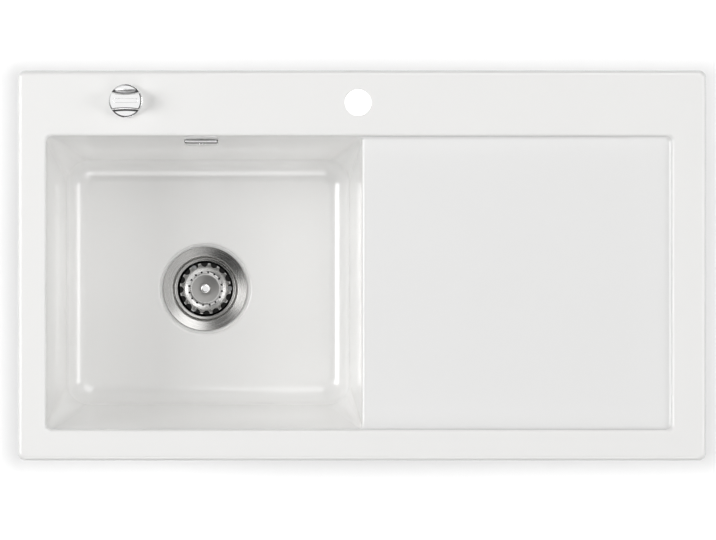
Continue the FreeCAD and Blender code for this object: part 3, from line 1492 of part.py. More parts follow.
def make_housing_cover():
    top = f"({HOUSING_LOW} - part_gap)"
    body = new_body("housing_cover", CONTROL)
    plate = new_sketch(body, "plate", offset=top)
    draw_centred_box(plate, "housing_length", "housing_width", "cover_screw_edge")
    extrude(body, "Pad", "plate_pad", plate, "housing_cover_thickness", reverse=True)
    holes = new_sketch(body, "screw_holes", offset=top)
    draw_corners(holes, "cover_screw_radius + screw_hole_clearance")
    extrude(body, "Pocket", "screw_holes_cut", holes, "housing_cover_thickness")
    under = f"({top} - housing_cover_thickness - part_gap)"
    profile = screw_profile(
        "cover_screw_radius", "cover_screw_head_radius", "cover_screw_head_height",
        "cover_screw_length",
    )
    for i, (x, y) in enumerate(corner_places()):
        place = (f"{CONTROL[0]} + {x}", f"{CONTROL[1]} + {y}", f"{CONTROL[2]} + {under}")
        screw = turned(f"housing_screw_{i + 1}", place, profile, (Vector(1, 0, 0), "180 deg"))
        arm = "(0.7 * cover_screw_head_radius)"
        cut_cross(screw, arm, "cover_screw_head_height", "0.5 * cover_screw_head_height")


def make_deck_fixing():
    under = f"(-{DECK_THICKNESS} - part_gap)"
    bore = "(sleeve_radius + thread_clearance)"
    turned(
        "deck_washer", CONTROL,
        ring_profile(bore, "deck_washer_radius", f"{under} - deck_washer_thickness", under),
    )
    nut = new_body("deck_nut", CONTROL)
    low = f"({under} - deck_washer_thickness - part_gap - deck_nut_height)"
    add_hex(nut, "deck_nut_radius", bore, low, "deck_nut_height")


def make_spindle():
    clip_top = f"({DRUM_LOW} - part_gap)"
    clip_low = f"({clip_top} - clip_thickness)"
    neck = "(spindle_radius - clip_groove_depth)"
    body = turned(
        "control_spindle", CONTROL,
        [
            ("0", f"{clip_low} - 1"),
            ("spindle_radius", f"{clip_low} - 1"),
            ("spindle_radius", clip_low),
            (neck, clip_low),
            (neck, clip_top),
            ("spindle_radius", clip_top),
            ("spindle_radius", f"{KNOB_LOW} + knob_bore_depth - part_gap"),
            ("0", f"{KNOB_LOW} + knob_bore_depth - part_gap"),
        ],
    )
    pin = new_sketch(body, "pin_hole", "YZ_Plane", offset="2 * drum_radius")
    draw_circle(pin, "0", f"{DRUM_LOW} + drum_side / 2", "drum_pin_radius + part_gap / 2")
    extrude(body, "Pocket", "pin_hole_cut", pin, "4 * drum_radius")
    turned(
        "spindle_clip", CONTROL,
        ring_profile(
            f"({neck} + part_gap)", "clip_radius",
            f"({clip_low} + part_gap / 2)", f"({clip_top} - part_gap / 2)",
        ),
    )
    seal_low = f"({FLANGE_TOP} - spindle_seal_height - part_gap)"
    turned(
        "spindle_seal", CONTROL,
        ring_profile(
            f"({SPINDLE_BORE} + spindle_fit)", "spindle_seal_radius",
            seal_low, f"({FLANGE_TOP} - part_gap)",
        ),
    )


def make_drum():
    body = turned(
        "cable_drum", CONTROL,
        [
            (SPINDLE_BORE, DRUM_LOW),
            ("drum_radius", DRUM_LOW),
            ("drum_radius", f"{DRUM_LOW} + drum_side"),
            ("drum_groove_radius", f"{DRUM_LOW} + drum_side"),
            ("drum_groove_radius", f"{DRUM_TOP} - drum_side"),
            ("drum_radius", f"{DRUM_TOP} - drum_side"),
            ("drum_radius", DRUM_TOP),
            (SPINDLE_BORE, DRUM_TOP),
        ],
    )
    pin = new_sketch(body, "pin_hole", "YZ_Plane", offset="2 * drum_radius")
    draw_circle(pin, "0", f"{DRUM_LOW} + drum_side / 2", "drum_pin_radius + part_gap / 2")
    extrude(body, "Pocket", "pin_hole_cut", pin, "4 * drum_radius")
    place = (CONTROL[0], CONTROL[1], f"{CONTROL[2]} + {DRUM_LOW} + drum_side / 2")
    turned(
        "drum_pin", place,
        [
            ("0", "-drum_radius"), ("drum_pin_radius", "-drum_radius"),
            ("drum_pin_radius", "drum_radius"), ("0", "drum_radius"),
        ],
        turn=ALONG_X,
    )


def make_control_gland():
    """A cable gland screwed into the end of the housing, pointing to the right."""
    place = (
        f"{CONTROL[0]} + housing_length / 2",
        f"{CONTROL[1]} + drum_groove_radius",
        f"{CONTROL[2]} + {DRUM_MIDDLE}",
    )
    grip = "(control_gland_grip - 2 * part_gap)"
    head = "(part_gap + cable_gland_nut_length)"
    turned(
        "control_cable_gland", place,
        [
            ("cable_gland_bore", f"-{grip}"),
            ("cable_gland_radius", f"-{grip}"),
            ("cable_gland_radius", "part_gap"),
            ("cable_gland_nut_radius - 1", "part_gap"),
            ("cable_gland_nut_radius - 1", head),
            ("cable_gland_radius", head),
            ("cable_gland_radius - 1", f"{head} + cable_gland_nut_length"),
            ("cable_gland_bore", f"{head} + cable_gland_nut_length"),
        ],
        turn=ALONG_X,
    )


def make_control_knob():
    """A round knob with a scoop in front and behind, which leaves a grip bar along X."""
    top = f"({KNOB_LOW} + knob_height)"
    bore_top = f"({KNOB_LOW} + knob_bore_depth)"
    body = turned(
        "control_knob", CONTROL,
        [
            (SPINDLE_BORE, KNOB_LOW),
            ("knob_radius", KNOB_LOW),
            ("knob_radius", top),
            ("0", top),
            ("0", bore_top),
            (SPINDLE_BORE, bore_top),
        ],
    )
    scoops = new_sketch(body, "scoops", offset=top)
    reach = "(grip_width / 2 + scoop_radius)"
    draw_circle(scoops, "0", reach, "scoop_radius")
    draw_circle(scoops, "0", f"-{reach}", "scoop_radius")
    depth = "(knob_height - scoop_floor)"
    extrude(body, "Pocket", "scoops_cut", scoops, depth, taper="-scoop_taper")
    top_z = value(top)
    floor_z = value(f"{KNOB_LOW} + scoop_floor")
    round_edges(body, "grip_rounding", "knob_round", lambda edge: level(edge, top_z))

    def scoop_foot(edge):
        straight_through = abs(edge.BoundBox.YMax) < value("knob_radius") - 1
        return level(edge, floor_z) and straight_through and abs(edge.BoundBox.YMin) < 18

    round_edges(body, "scoop_rounding", "scoop_floor_round", scoop_foot)
    groove = new_sketch(body, "grip_groove", offset=top)
    draw_centred_box(
        groove, "grip_groove_length", "grip_groove_width", "(0.48 * grip_groove_width)"
    )
    extrude(body, "Pocket", "grip_groove_cut", groove, "grip_groove_depth")
    hole_z = f"({KNOB_LOW} + 0.5 * scoop_floor + 1.2)"
    hole = new_sketch(body, "grub_hole", "XZ_Plane", offset="-knob_radius - 1")
    draw_circle(hole, "0", hole_z, "grub_screw_radius + part_gap / 2")
    extrude(body, "Pocket", "grub_hole_cut", hole, "knob_radius + 1", reverse=True)
    place = (CONTROL[0], CONTROL[1], f"{CONTROL[2]} + {hole_z}")
    turned(
        "knob_grub_screw", place,
        ring_profile("0", "grub_screw_radius", "spindle_radius + part_gap", "spindle_radius + 6"),
        turn=TO_BACK,
    )


make_sink_body()
make_rim_seal()
make_strainer_cup()
make_flange_gasket()
make_floor_gasket()
make_cup_seal()
make_cup_screws()
make_waste_body()
make_strainer_basket()
make_basket_foot()
make_basket_knob()
make_lift_pin()
make_pin_guide()
make_lifter_shaft()
make_levers()
make_arm_screw()
make_lifter_gland()
make_cable_bracket()
make_waste_cable_gland()
make_overflow_cover()
make_overflow_screw()
make_overflow_gasket()
make_overflow_head()
make_union("overflow_upper", SPIGOT_PLACE, (Vector(1, 0, 0), f"180 deg - {BACK_TILT}"))
make_union("overflow_lower", INLET_PLACE, TO_BACK)
make_overflow_pipe()
make_escutcheon()
make_control_body()
make_housing_cover()
make_deck_fixing()
make_spindle()
make_drum()
make_control_gland()
make_control_knob()

doc.recompute()
for item in doc.Objects:
    faults = [word for word in item.State if word in ("Invalid", "Error")]
    if faults:
        raise RuntimeError(f"{item.Name}: {faults}")
bodies = [item for item in doc.Objects if item.TypeId == "PartDesign::Body"]
for body in bodies:
    if body.Shape.isNull() or not body.Shape.isValid():
        raise RuntimeError(f"{body.Label}: no valid shape")
os.makedirs("parts", exist_ok=True)
for body in bodies:
    body.Shape.exportStep(f"parts/{body.Label}.step")
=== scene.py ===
import json
import math

import bmesh
import bpy
from bpy.props import FloatProperty, FloatVectorProperty, IntProperty, PointerProperty
from mathutils import Matrix, Vector


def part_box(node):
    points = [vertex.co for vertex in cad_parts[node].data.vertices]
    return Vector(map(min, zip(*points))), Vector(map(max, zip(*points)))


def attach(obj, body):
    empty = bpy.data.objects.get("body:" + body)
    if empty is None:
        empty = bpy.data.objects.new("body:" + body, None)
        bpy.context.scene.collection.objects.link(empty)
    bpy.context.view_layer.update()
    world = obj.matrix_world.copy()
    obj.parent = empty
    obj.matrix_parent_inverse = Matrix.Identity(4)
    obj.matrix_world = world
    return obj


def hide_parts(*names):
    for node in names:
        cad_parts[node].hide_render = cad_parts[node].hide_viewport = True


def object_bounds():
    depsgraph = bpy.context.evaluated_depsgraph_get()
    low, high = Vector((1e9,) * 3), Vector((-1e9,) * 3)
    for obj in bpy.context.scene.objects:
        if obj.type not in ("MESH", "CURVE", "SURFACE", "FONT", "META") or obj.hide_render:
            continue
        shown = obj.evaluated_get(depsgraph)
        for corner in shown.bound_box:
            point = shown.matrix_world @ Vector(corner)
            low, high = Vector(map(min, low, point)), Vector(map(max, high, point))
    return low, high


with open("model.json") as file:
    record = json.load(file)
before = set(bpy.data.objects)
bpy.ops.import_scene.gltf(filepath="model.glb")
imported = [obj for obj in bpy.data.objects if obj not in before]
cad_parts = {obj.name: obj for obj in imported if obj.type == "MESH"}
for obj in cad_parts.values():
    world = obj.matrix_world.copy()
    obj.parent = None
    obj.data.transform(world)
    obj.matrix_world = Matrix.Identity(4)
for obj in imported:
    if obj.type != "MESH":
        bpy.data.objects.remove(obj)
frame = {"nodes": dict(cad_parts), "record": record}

bl_info = {
    "name": "Inset ceramic sink",
    "version": (1, 0, 0),
    "blender": (4, 5, 0),
    "location": "View3D > Sidebar > Sink",
    "description": "Glazed sink with drainboard, strainer waste, overflow and rotary control",
    "category": "Object",
}

CAD_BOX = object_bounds()
SINK_LOW, SINK_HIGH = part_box("sink_body")
CUP_LOW, CUP_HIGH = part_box("strainer_cup")
KNOB_LOW, KNOB_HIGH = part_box("control_knob")
COVER_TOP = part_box("overflow_cover")[1].z
COLLAR_LOW, COLLAR_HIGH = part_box("control_escutcheon")
BASKET_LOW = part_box("strainer_basket")[0]
PULL_LOW, PULL_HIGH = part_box("basket_knob")
UP = Vector((0, 0, 1))
SHARP = math.radians(38)
STRONG, WEAK = 16384, -16384


# --- what a user may change ---
def metres(label, about, default):
    """A length of the part."""
    return FloatProperty(
        name=label, description=about, default=default, min=0, unit="LENGTH", precision=5
    )


def share(label, about, default):
    """A value between nothing and all."""
    return FloatProperty(
        name=label, description=about, default=default, min=0, max=1, subtype="FACTOR"
    )


def level(label, about, default):
    """How strong a light is."""
    return FloatProperty(name=label, description=about, default=default, min=0)


def colour(label, about, default):
    """A colour in linear light."""
    return FloatVectorProperty(
        name=label, description=about, default=default, size=3, min=0, max=1, subtype="COLOR"
    )


class CeramicSizes(bpy.types.PropertyGroup):
    """Sizes of the glazed sink"""

    corner: metres("Outer corner", "Radius of the rim's corners, seen from above", 0.010)
    rim_round: metres("Rim round", "Radius of the rim's upper outer edge", 0.0065)
    recess_left: metres("Recess left", "From the middle to the recess's left edge", 0.413)
    recess_right: metres("Recess right", "From the middle to the recess's right edge", 0.406)
    recess_front: metres("Recess front", "From the middle to the recess's front edge", 0.215)
    recess_back: metres("Recess back", "From the middle to the recess's back edge", 0.170)
    recess_corner: metres("Recess corner", "Radius of the recess's corners", 0.008)
    recess_depth: metres("Recess depth", "Depth of the recess at the lip", 0.011)
    recess_lean: metres("Recess lean", "How far the recess's right wall leans in", 0.0019)
    recess_round: metres("Recess round", "Radius of the recess's upper edge", 0.0045)
    drain_rise: metres("Drain rise", "Rise of the drainboard to its right end", 0.003)
    lip: metres("Lip", "From the middle to the lip over the bowl", 0.0005)
    lip_round: metres("Lip round", "Radius of the lip and the recess's floor edge", 0.0038)
    bowl_depth: metres("Bowl depth", "From the deck to the bowl's floor", 0.195)
    side_inset: metres("Side inset", "How far the bowl's side walls lean in", 0.020)
    end_inset: metres("End inset", "How far the bowl's front and back walls lean in", 0.0326)
    floor_corner: metres("Floor corner", "Radius of the bowl's corners at the floor", 0.034)
    floor_round: metres("Floor round", "Reach of the rounding between walls and floor", 0.026)
    wall: metres("Wall", "Thickness of the bowl's wall", 0.011)
    floor_thickness: metres("Floor thickness", "Thickness of the bowl's floor", 0.012)
    seat: metres("Seat", "Width of the land that rests on the worktop", 0.012)
    seal: metres("Seal", "Width of the groove for the foam strip", 0.005)
    seal_groove: metres("Seal groove", "Depth of the groove for the foam strip", 0.002)
    apron: metres("Apron", "Depth of the skirt under the deck", 0.018)
    hollow: metres("Hollow", "Depth of the hollows under the drainboard", 0.007)
    rib: metres("Rib", "Width of the ribs between the hollows", 0.014)
    hole_radius: metres("Deck hole", "Radius of the tap hole and of the control's hole", 0.0175)
    nut_room: metres("Nut room", "Radius of the clear round under a deck hole", 0.025)
    tap_x: FloatProperty(
        name="Tap X", description="Place of the tap hole along the sink", default=-0.005,
        unit="LENGTH", precision=5,
    )
    tap_y: metres("Tap Y", "Place of the tap hole towards the back", 0.213)


class WasteSizes(bpy.types.PropertyGroup):
    """Sizes of the waste and its seat"""

    fall_radius: metres("Fall radius", "Where the floor begins to fall to the waste", 0.122)
    fall: metres("Fall", "How much the floor falls to the waste", 0.0015)
    edge_radius: metres("Edge radius", "Radius of the waste's edge in the ceramic", 0.0605)
    edge_round: metres("Edge round", "Width of that edge's rounding", 0.0045)
    seat_radius: metres("Seat radius", "Outer radius of the flange's seat", 0.058)
    seat_drop: metres("Seat drop", "From the bowl's floor to the seat", 0.0045)
    hole_radius: metres("Hole radius", "Radius of the waste hole", 0.046)
    flange_radius: metres("Flange radius", "Outer radius of the steel flange", 0.0565)
    mouth_radius: metres("Mouth radius", "Inner edge of the flange", 0.0435)
    step_radius: metres("Step radius", "Inside of the cup above its step", 0.0416)
    step_drop: metres("Step drop", "Depth of that step", 0.014)
    cup_radius: metres("Cup radius", "Inside of the cup below its step", 0.0373)
    cup_drop: metres("Cup drop", "Depth of the cup's floor", 0.038)
    outlet_radius: metres("Outlet radius", "Radius of the hole in the cup's floor", 0.023)
    sheet: metres("Sheet", "Thickness of the cup's steel", 0.001)


class BasketSizes(bpy.types.PropertyGroup):
    """Sizes of the strainer basket and its pull"""

    radius: metres("Radius", "Radius over the teeth", 0.0336)
    base_radius: metres("Base radius", "Radius of the basket's flat base", 0.024)
    band_radius: metres("Band radius", "Where the sloping band meets the teeth", 0.0293)
    band_rise: metres("Band rise", "Rise of the sloping band", 0.0027)
    height: metres("Height", "From the base to the tips of the teeth", 0.013)
    sheet: metres("Sheet", "Thickness of the basket's steel", 0.0009)
    teeth: IntProperty(name="Teeth", description="Number of teeth", default=16, min=3)
    tooth_turn: FloatProperty(
        name="Tooth turn", description="How far the ring of drain holes is turned",
        default=math.radians(13.6), subtype="ANGLE", unit="ROTATION",
    )
    notch_circle: metres("Notch circle", "Circle of the notches' middles", 0.0344)
    notch_radius: metres("Notch radius", "Radius of a notch", 0.0049)
    hole_circle: metres("Hole circle", "Circle of the drain holes", 0.0224)
    hole_radius: metres("Hole radius", "Radius of a drain hole", 0.0014)
    bead_radius: metres("Bead radius", "Radius of the raised ring round the dish", 0.020)
    dish_radius: metres("Dish radius", "Radius of the dish in the middle", 0.0182)
    bead: metres("Bead", "Height of that ring", 0.0012)
    pull_radius: metres("Pull radius", "Radius of the basket's knob", 0.0065)
    pull_neck: metres("Pull neck", "Radius of the knob's neck", 0.0034)


class OverflowSizes(bpy.types.PropertyGroup):
    """Sizes of the overflow's slot and cover"""

    drop: metres("Drop", "From the deck to the middle of the overflow", 0.038)
    slot_length: metres("Slot length", "Length of the slot in the wall", 0.034)
    slot_height: metres("Slot height", "Height of the slot in the wall", 0.013)
    length: metres("Length", "Length of the cover", 0.044)
    height: metres("Height", "Height of the cover", 0.024)
    stand_off: metres("Stand-off", "From the wall to the cover's face", 0.0045)
    gap: metres("Gap", "Between the wall and the cover's edge", 0.0002)
    sheet: metres("Sheet", "Thickness of the cover", 0.0012)
    face_round: metres("Face round", "Rounding of the cover's face", 0.0019)
    corner: metres("Corner", "Radius of the cover's corners", 0.003)
    vent: metres("Vent", "Length of the open part of its edges", 0.040)
    vent_gap: metres("Vent gap", "Height of that opening over the wall", 0.0018)
    screw_radius: metres("Screw", "Radius of the screw's shank", 0.0025)
    head_radius: metres("Screw head", "Radius of the screw's head", 0.0046)


class ControlSizes(bpy.types.PropertyGroup):
    """Sizes of the knob and its collar"""

    bar_back: metres("Bar back", "From the middle to the bar's flat top's back edge", 0.0070)
    bar_front: metres("Bar front", "From the middle to that top's front edge", 0.0090)
    back_lean: metres("Back lean", "How far the bar's back widens down to the disc", 0.0016)
    front_lean: metres("Front lean", "How far the bar's front widens down to the disc", 0.0008)
    scoop_radius: metres("Scoop radius", "How round the sides of the bar are", 0.110)
    scoop_floor: metres("Scoop floor", "Thickness of the disc beside the bar", 0.003)
    groove_length: metres("Groove length", "Length of the groove along the bar", 0.032)
    groove_width: metres("Groove width", "Width of that groove", 0.0052)
    groove_depth: metres("Groove depth", "Depth of that groove", 0.0005)
    edge: metres("Edge", "Width of the chamfer round the knob", 0.0014)
    grip_edge: metres("Grip edge", "Width of the chamfers along the bar", 0.0007)
    back_foot: metres("Back foot", "Width of the slope behind the bar", 0.0042)
    front_foot: metres("Front foot", "Width of the slope before the bar", 0.0028)
    bore: metres("Bore", "Radius of the hole in the collar", 0.0105)


class Finishes(bpy.types.PropertyGroup):
    """Colours and roughness of the finishes"""

    glaze: colour("Glaze", "Colour of the ceramic", (0.925, 0.922, 0.912))
    glaze_shade: colour("Glaze shade", "Its faint darker clouds", (0.912, 0.909, 0.899))
    # Painted shade: this tint darkens the drainboard's glaze to stand in for shade there.
    drainboard_shade: colour("Pooled glaze", "Tint of the glaze on the drainboard", (0.948, 0.951, 0.957))
    steel: colour("Steel", "Colour of the stainless steel", (0.39, 0.385, 0.375))
    satin: colour("Satin steel", "Colour of the basket's dull dish", (0.37, 0.365, 0.355))
    polished: colour("Polished steel", "Colour of the basket's steel", (0.64, 0.635, 0.625))
    chrome: colour("Chrome", "Colour of the chrome plating", (0.90, 0.90, 0.90))
    brass: colour("Brass", "Colour of the brass", (0.75, 0.55, 0.25))
    zinc: colour("Zinc steel", "Colour of the plain steel", (0.52, 0.53, 0.54))
    white_plastic: colour("White plastic", "Colour of the moulded waste", (0.74, 0.74, 0.72))
    dark_plastic: colour("Dark plastic", "Colour of the dark mouldings", (0.035, 0.036, 0.038))
    rubber: colour("Rubber", "Colour of the gaskets", (0.022, 0.022, 0.022))
    foam: colour("Foam", "Colour of the rim's strip", (0.23, 0.23, 0.23))
    glaze_rough: share("Glaze roughness", "How dull the glaze is", 0.13)
    steel_rough: share("Steel roughness", "How dull the brushed steel is", 0.20)
    chrome_rough: share("Chrome roughness", "How dull the chrome is", 0.05)


class Studio(bpy.types.PropertyGroup):
    """Camera and light"""

    camera_height: metres("Camera height", "From the rim straight up to the camera", 6.6)
    camera_x: FloatProperty(
        name="Camera X", description="Camera's place along the sink", default=-0.0052,
        unit="LENGTH", precision=5,
    )
    camera_y: FloatProperty(
        name="Camera Y", description="Camera's place towards the back", default=-0.0059,
        unit="LENGTH", precision=5,
    )
    lens: FloatProperty(name="Lens", description="Focal length in millimetres", default=254.0)
    high_sky: level("High sky", "Strength of the soft light overhead", 0.54)
    low_sky: level("Low sky", "Strength of the soft light near the horizon", 0.14)
    overhead: level("Overhead", "Extra strength of the small panel straight above", 0.45)
    left_box: level("Left box", "Power of the softbox on the left, in watts", 62.0)
    right_box: level("Right box", "Power of the softbox on the right, in watts", 33.0)
    back_box: level("Back box", "Power of the softbox behind, in watts", 13.0)
    front_box: level("Front box", "Power of the softbox in front, in watts", 23.0)
    floor_lamp: level("Floor lamp", "Power of the lamp that lights the floor, in watts", 118.0)
    shadow: share("Shadow", "How much of the floor's white is shaded by the part", 0.48)


# --- small tools ---
def near(a, b, tolerance=3e-5):
    return abs(a - b) < tolerance


def new_shape():
    """An empty bmesh whose faces are known as flat or as part of a rounding."""
    shape = bmesh.new()
    shape.faces.layers.int.new("flat")
    return shape


def mark(shape, faces, flat):
    layer = shape.faces.layers.int["flat"]
    for face in faces:
        face[layer] = flat


def round_off(shape, edges, offset, segments):
    """Round edges; the new faces are known as curved."""
    made = bmesh.ops.bevel(
        shape, geom=edges, offset=offset, offset_type="OFFSET", segments=segments,
        profile=0.5, affect="EDGES", clamp_overlap=False, loop_slide=True, material=-1,
    )
    mark(shape, made["faces"], 0)
    return made["faces"]


def join(shape, other):
    """Move everything of another bmesh into this one and give back its edges."""
    mesh = bpy.data.meshes.new("joined")
    other.to_mesh(mesh)
    other.free()
    before = set(shape.edges)
    shape.from_mesh(mesh)
    bpy.data.meshes.remove(mesh)
    return [edge for edge in shape.edges if edge not in before]


def carry(shape, edges, place, flat=1):
    """Extrude edges, move the copy with a matrix and give back the copy's edges."""
    made = bmesh.ops.extrude_edge_only(shape, edges=edges)["geom"]
    verts = {item for item in made if isinstance(item, bmesh.types.BMVert)}
    bmesh.ops.transform(shape, matrix=place, verts=list(verts))
    mark(shape, {face for vert in verts for face in vert.link_faces}, flat)
    return [
        item for item in made
        if isinstance(item, bmesh.types.BMEdge) and verts.issuperset(item.verts)
    ]


def shift(x=0.0, y=0.0, z=0.0):
    return Matrix.Translation((x, y, z))


def about(centre, scale):
    """Scale about a point."""
    there = Matrix.Translation(centre)
    return there @ Matrix.Diagonal((*scale, 1)) @ there.inverted()


def fill(shape, edges, normal):
    """Close a flat area between loops of edges."""
    made = bmesh.ops.triangle_fill(
        shape, edges=edges, use_beauty=True, use_dissolve=False, normal=normal
    )
    faces = [item for item in made["geom"] if isinstance(item, bmesh.types.BMFace)]
    if not faces:
        raise RuntimeError("a flat area could not be filled")
    mark(shape, faces, 1)
    return faces


def box_loop(shape, low, high, height, corner, segments=12, place=Matrix()):
    """Edges of a flat rectangle with rounded corners, from its low to its high corner."""
    sheet = new_shape()
    middle = ((low[0] + high[0]) / 2, (low[1] + high[1]) / 2, height)
    spread = Matrix.Diagonal((high[0] - low[0], high[1] - low[1], 1, 1))
    corners = bmesh.ops.create_grid(
        sheet, x_segments=1, y_segments=1, size=0.5,
        matrix=place @ Matrix.Translation(middle) @ spread,
    )["verts"]
    bmesh.ops.bevel(
        sheet, geom=corners, offset=corner, offset_type="OFFSET", segments=segments,
        profile=0.5, affect="VERTICES", clamp_overlap=False, material=-1,
    )
    bmesh.ops.delete(sheet, geom=sheet.faces[:], context="FACES_ONLY")
    return join(shape, sheet)


def circle_loop(shape, centre, radius, segments=128):
    made = bmesh.ops.create_circle(
        shape, cap_ends=False, segments=segments, radius=radius, matrix=Matrix.Translation(centre)
    )
    return list({edge for vert in made["verts"] for edge in vert.link_edges})


def ring_steps(shape, edges, centre, start, steps):
    """Carry a circle through (radius, height, flat) steps about an upright axis."""
    radius, height = start
    for next_radius, next_height, flat in steps:
        scale = next_radius / radius
        place = shift(z=next_height - height) @ about((centre[0], centre[1], 0), (scale, scale, 1))
        edges = carry(shape, edges, place, flat)
        radius, height = next_radius, next_height
    return edges


def quarter(radius, top, across, down, steps=5):
    """Steps over a rounded edge, from a flat at the top into an upright wall."""
    places = []
    for step in range(1, steps + 1):
        angle = math.pi / 2 * step / steps
        places.append((
            radius + across * (1 - math.sin(angle)), top - down * (1 - math.cos(angle)), 0
        ))
    return places


def turned(points, centre=(0, 0, 0), steps=128, segments=4):
    """Spin (radius, height, rounding) points about an upright axis into a closed shape."""
    shape = new_shape()
    middle = Vector(centre)
    verts = [
        bmesh.ops.create_vert(shape, co=middle + Vector((radius, 0, height)))["vert"][0]
        for radius, height, _ in points
    ]
    pairs = list(zip(verts, verts[1:]))
    if points[0][0] > 0:
        pairs.append((verts[-1], verts[0]))
    edges = [shape.edges.new(pair) for pair in pairs]
    bmesh.ops.spin(
        shape, geom=verts + edges, cent=middle, axis=UP, dvec=(0, 0, 0), angle=2 * math.pi,
        steps=steps, use_merge=True, use_normal_flip=False, use_duplicate=False,
    )
    bmesh.ops.remove_doubles(shape, verts=shape.verts[:], dist=1e-7)
    mark(shape, shape.faces, 1)
    for radius, height, rounding in points:
        if rounding:
            round_off(shape, ring_at(shape, middle, radius, height), rounding, segments)
    bmesh.ops.recalc_face_normals(shape, faces=shape.faces[:])
    return shape


def ring_at(shape, middle, radius, height):
    """The circle of edges at a radius and height."""
    def on_it(vert):
        away = vert.co - middle
        return near(away.z, height, 2e-6) and near(away.xy.length, radius, 2e-6)

    return [edge for edge in shape.edges if all(on_it(vert) for vert in edge.verts)]


def cut(shape, *cutters, operation="DIFFERENCE"):
    """Take other shapes away from a shape, or join them to it."""
    objects = []
    for item in (shape, *cutters):
        mesh = bpy.data.meshes.new("cutting")
        item.to_mesh(mesh)
        item.free()
        objects.append(bpy.data.objects.new("cutting", mesh))
        bpy.context.collection.objects.link(objects[-1])
    for cutter in objects[1:]:
        boolean = objects[0].modifiers.new("cut", "BOOLEAN")
        boolean.operation = operation
        boolean.solver = "EXACT"
        boolean.object = cutter
    bpy.context.view_layer.update()
    evaluated = objects[0].evaluated_get(bpy.context.evaluated_depsgraph_get())
    result = bpy.data.meshes.new_from_object(evaluated)
    made = new_shape()
    made.from_mesh(result)
    for item in objects:
        mesh = item.data
        bpy.data.objects.remove(item)
        bpy.data.meshes.remove(mesh)
    bpy.data.meshes.remove(result)
    mark(made, made.faces, 1)
    return made


def prism(low_z, high_z, loop, place=Matrix()):
    """A closed block between two heights; loop draws its outline in a shape."""
    shape = new_shape()
    edges = loop(shape)
    bmesh.ops.contextual_create(shape, geom=edges)
    top = carry(shape, edges, shift(z=high_z - low_z))
    bmesh.ops.contextual_create(shape, geom=top)
    bmesh.ops.transform(shape, matrix=place, verts=shape.verts[:])
    bmesh.ops.recalc_face_normals(shape, faces=shape.faces[:])
    mark(shape, shape.faces, 1)
    return shape


def corners_over(shape, angle=SHARP):
    """Edges that turn by more than an angle."""
    return [
        edge for edge in shape.edges if edge.is_manifold and edge.calc_face_angle() > angle
    ]


def present(shape, name, body, slot, nodes):
    """Make a piece that rides on a body, wears a finish and stands for CAD nodes."""
    layer = shape.faces.layers.int["flat"]
    weight = shape.faces.layers.int.new("__mod_weightednormals_faceweight")
    for face in shape.faces:
        face.smooth = True
        face[weight] = STRONG if face[layer] else WEAK
    for edge in corners_over(shape):
        edge.smooth = False
    mesh = bpy.data.meshes.new(name)
    shape.to_mesh(mesh)
    shape.free()
    mesh.materials.append(finish(slot))
    piece = bpy.data.objects.new(name, mesh)
    bpy.context.scene.collection.objects.link(piece)
    normals = piece.modifiers.new("normals", "WEIGHTED_NORMAL")
    normals.use_face_influence = True
    normals.keep_sharp = True
    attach(piece, body)
    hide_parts(*nodes)
    return piece


# --- the ceramic ---
def wall_lean(size):
    """How far the front and back walls lean in for each unit down."""
    return size.end_inset / size.bowl_depth


def side_lean(size):
    """How far the side walls lean in for each unit down."""
    return size.side_inset / size.bowl_depth


def widen_corners(shape, face, corners, old, new):
    """Give the rounded corners of a face a larger radius."""
    for corner in corners:
        verts = [
            vert for vert in face.verts if (vert.co.xy - Vector(corner)).length < old * 1.3
        ]
        scale = new / old
        bmesh.ops.transform(
            shape, matrix=about((*corner, 0), (scale, scale, 1)), verts=verts
        )


def floor_places(size, depth, grow=0.0):
    """Left, front, right and back of the bowl at a depth under the deck."""
    side, end = side_lean(size) * depth, wall_lean(size) * depth
    return (
        -size.recess_left + side - grow, -size.recess_front + end - grow,
        size.lip - side + grow, size.recess_back - end + grow,
    )


def plan_corners(left, front, right, back):
    return [(left, front), (right, front), (right, back), (left, back)]


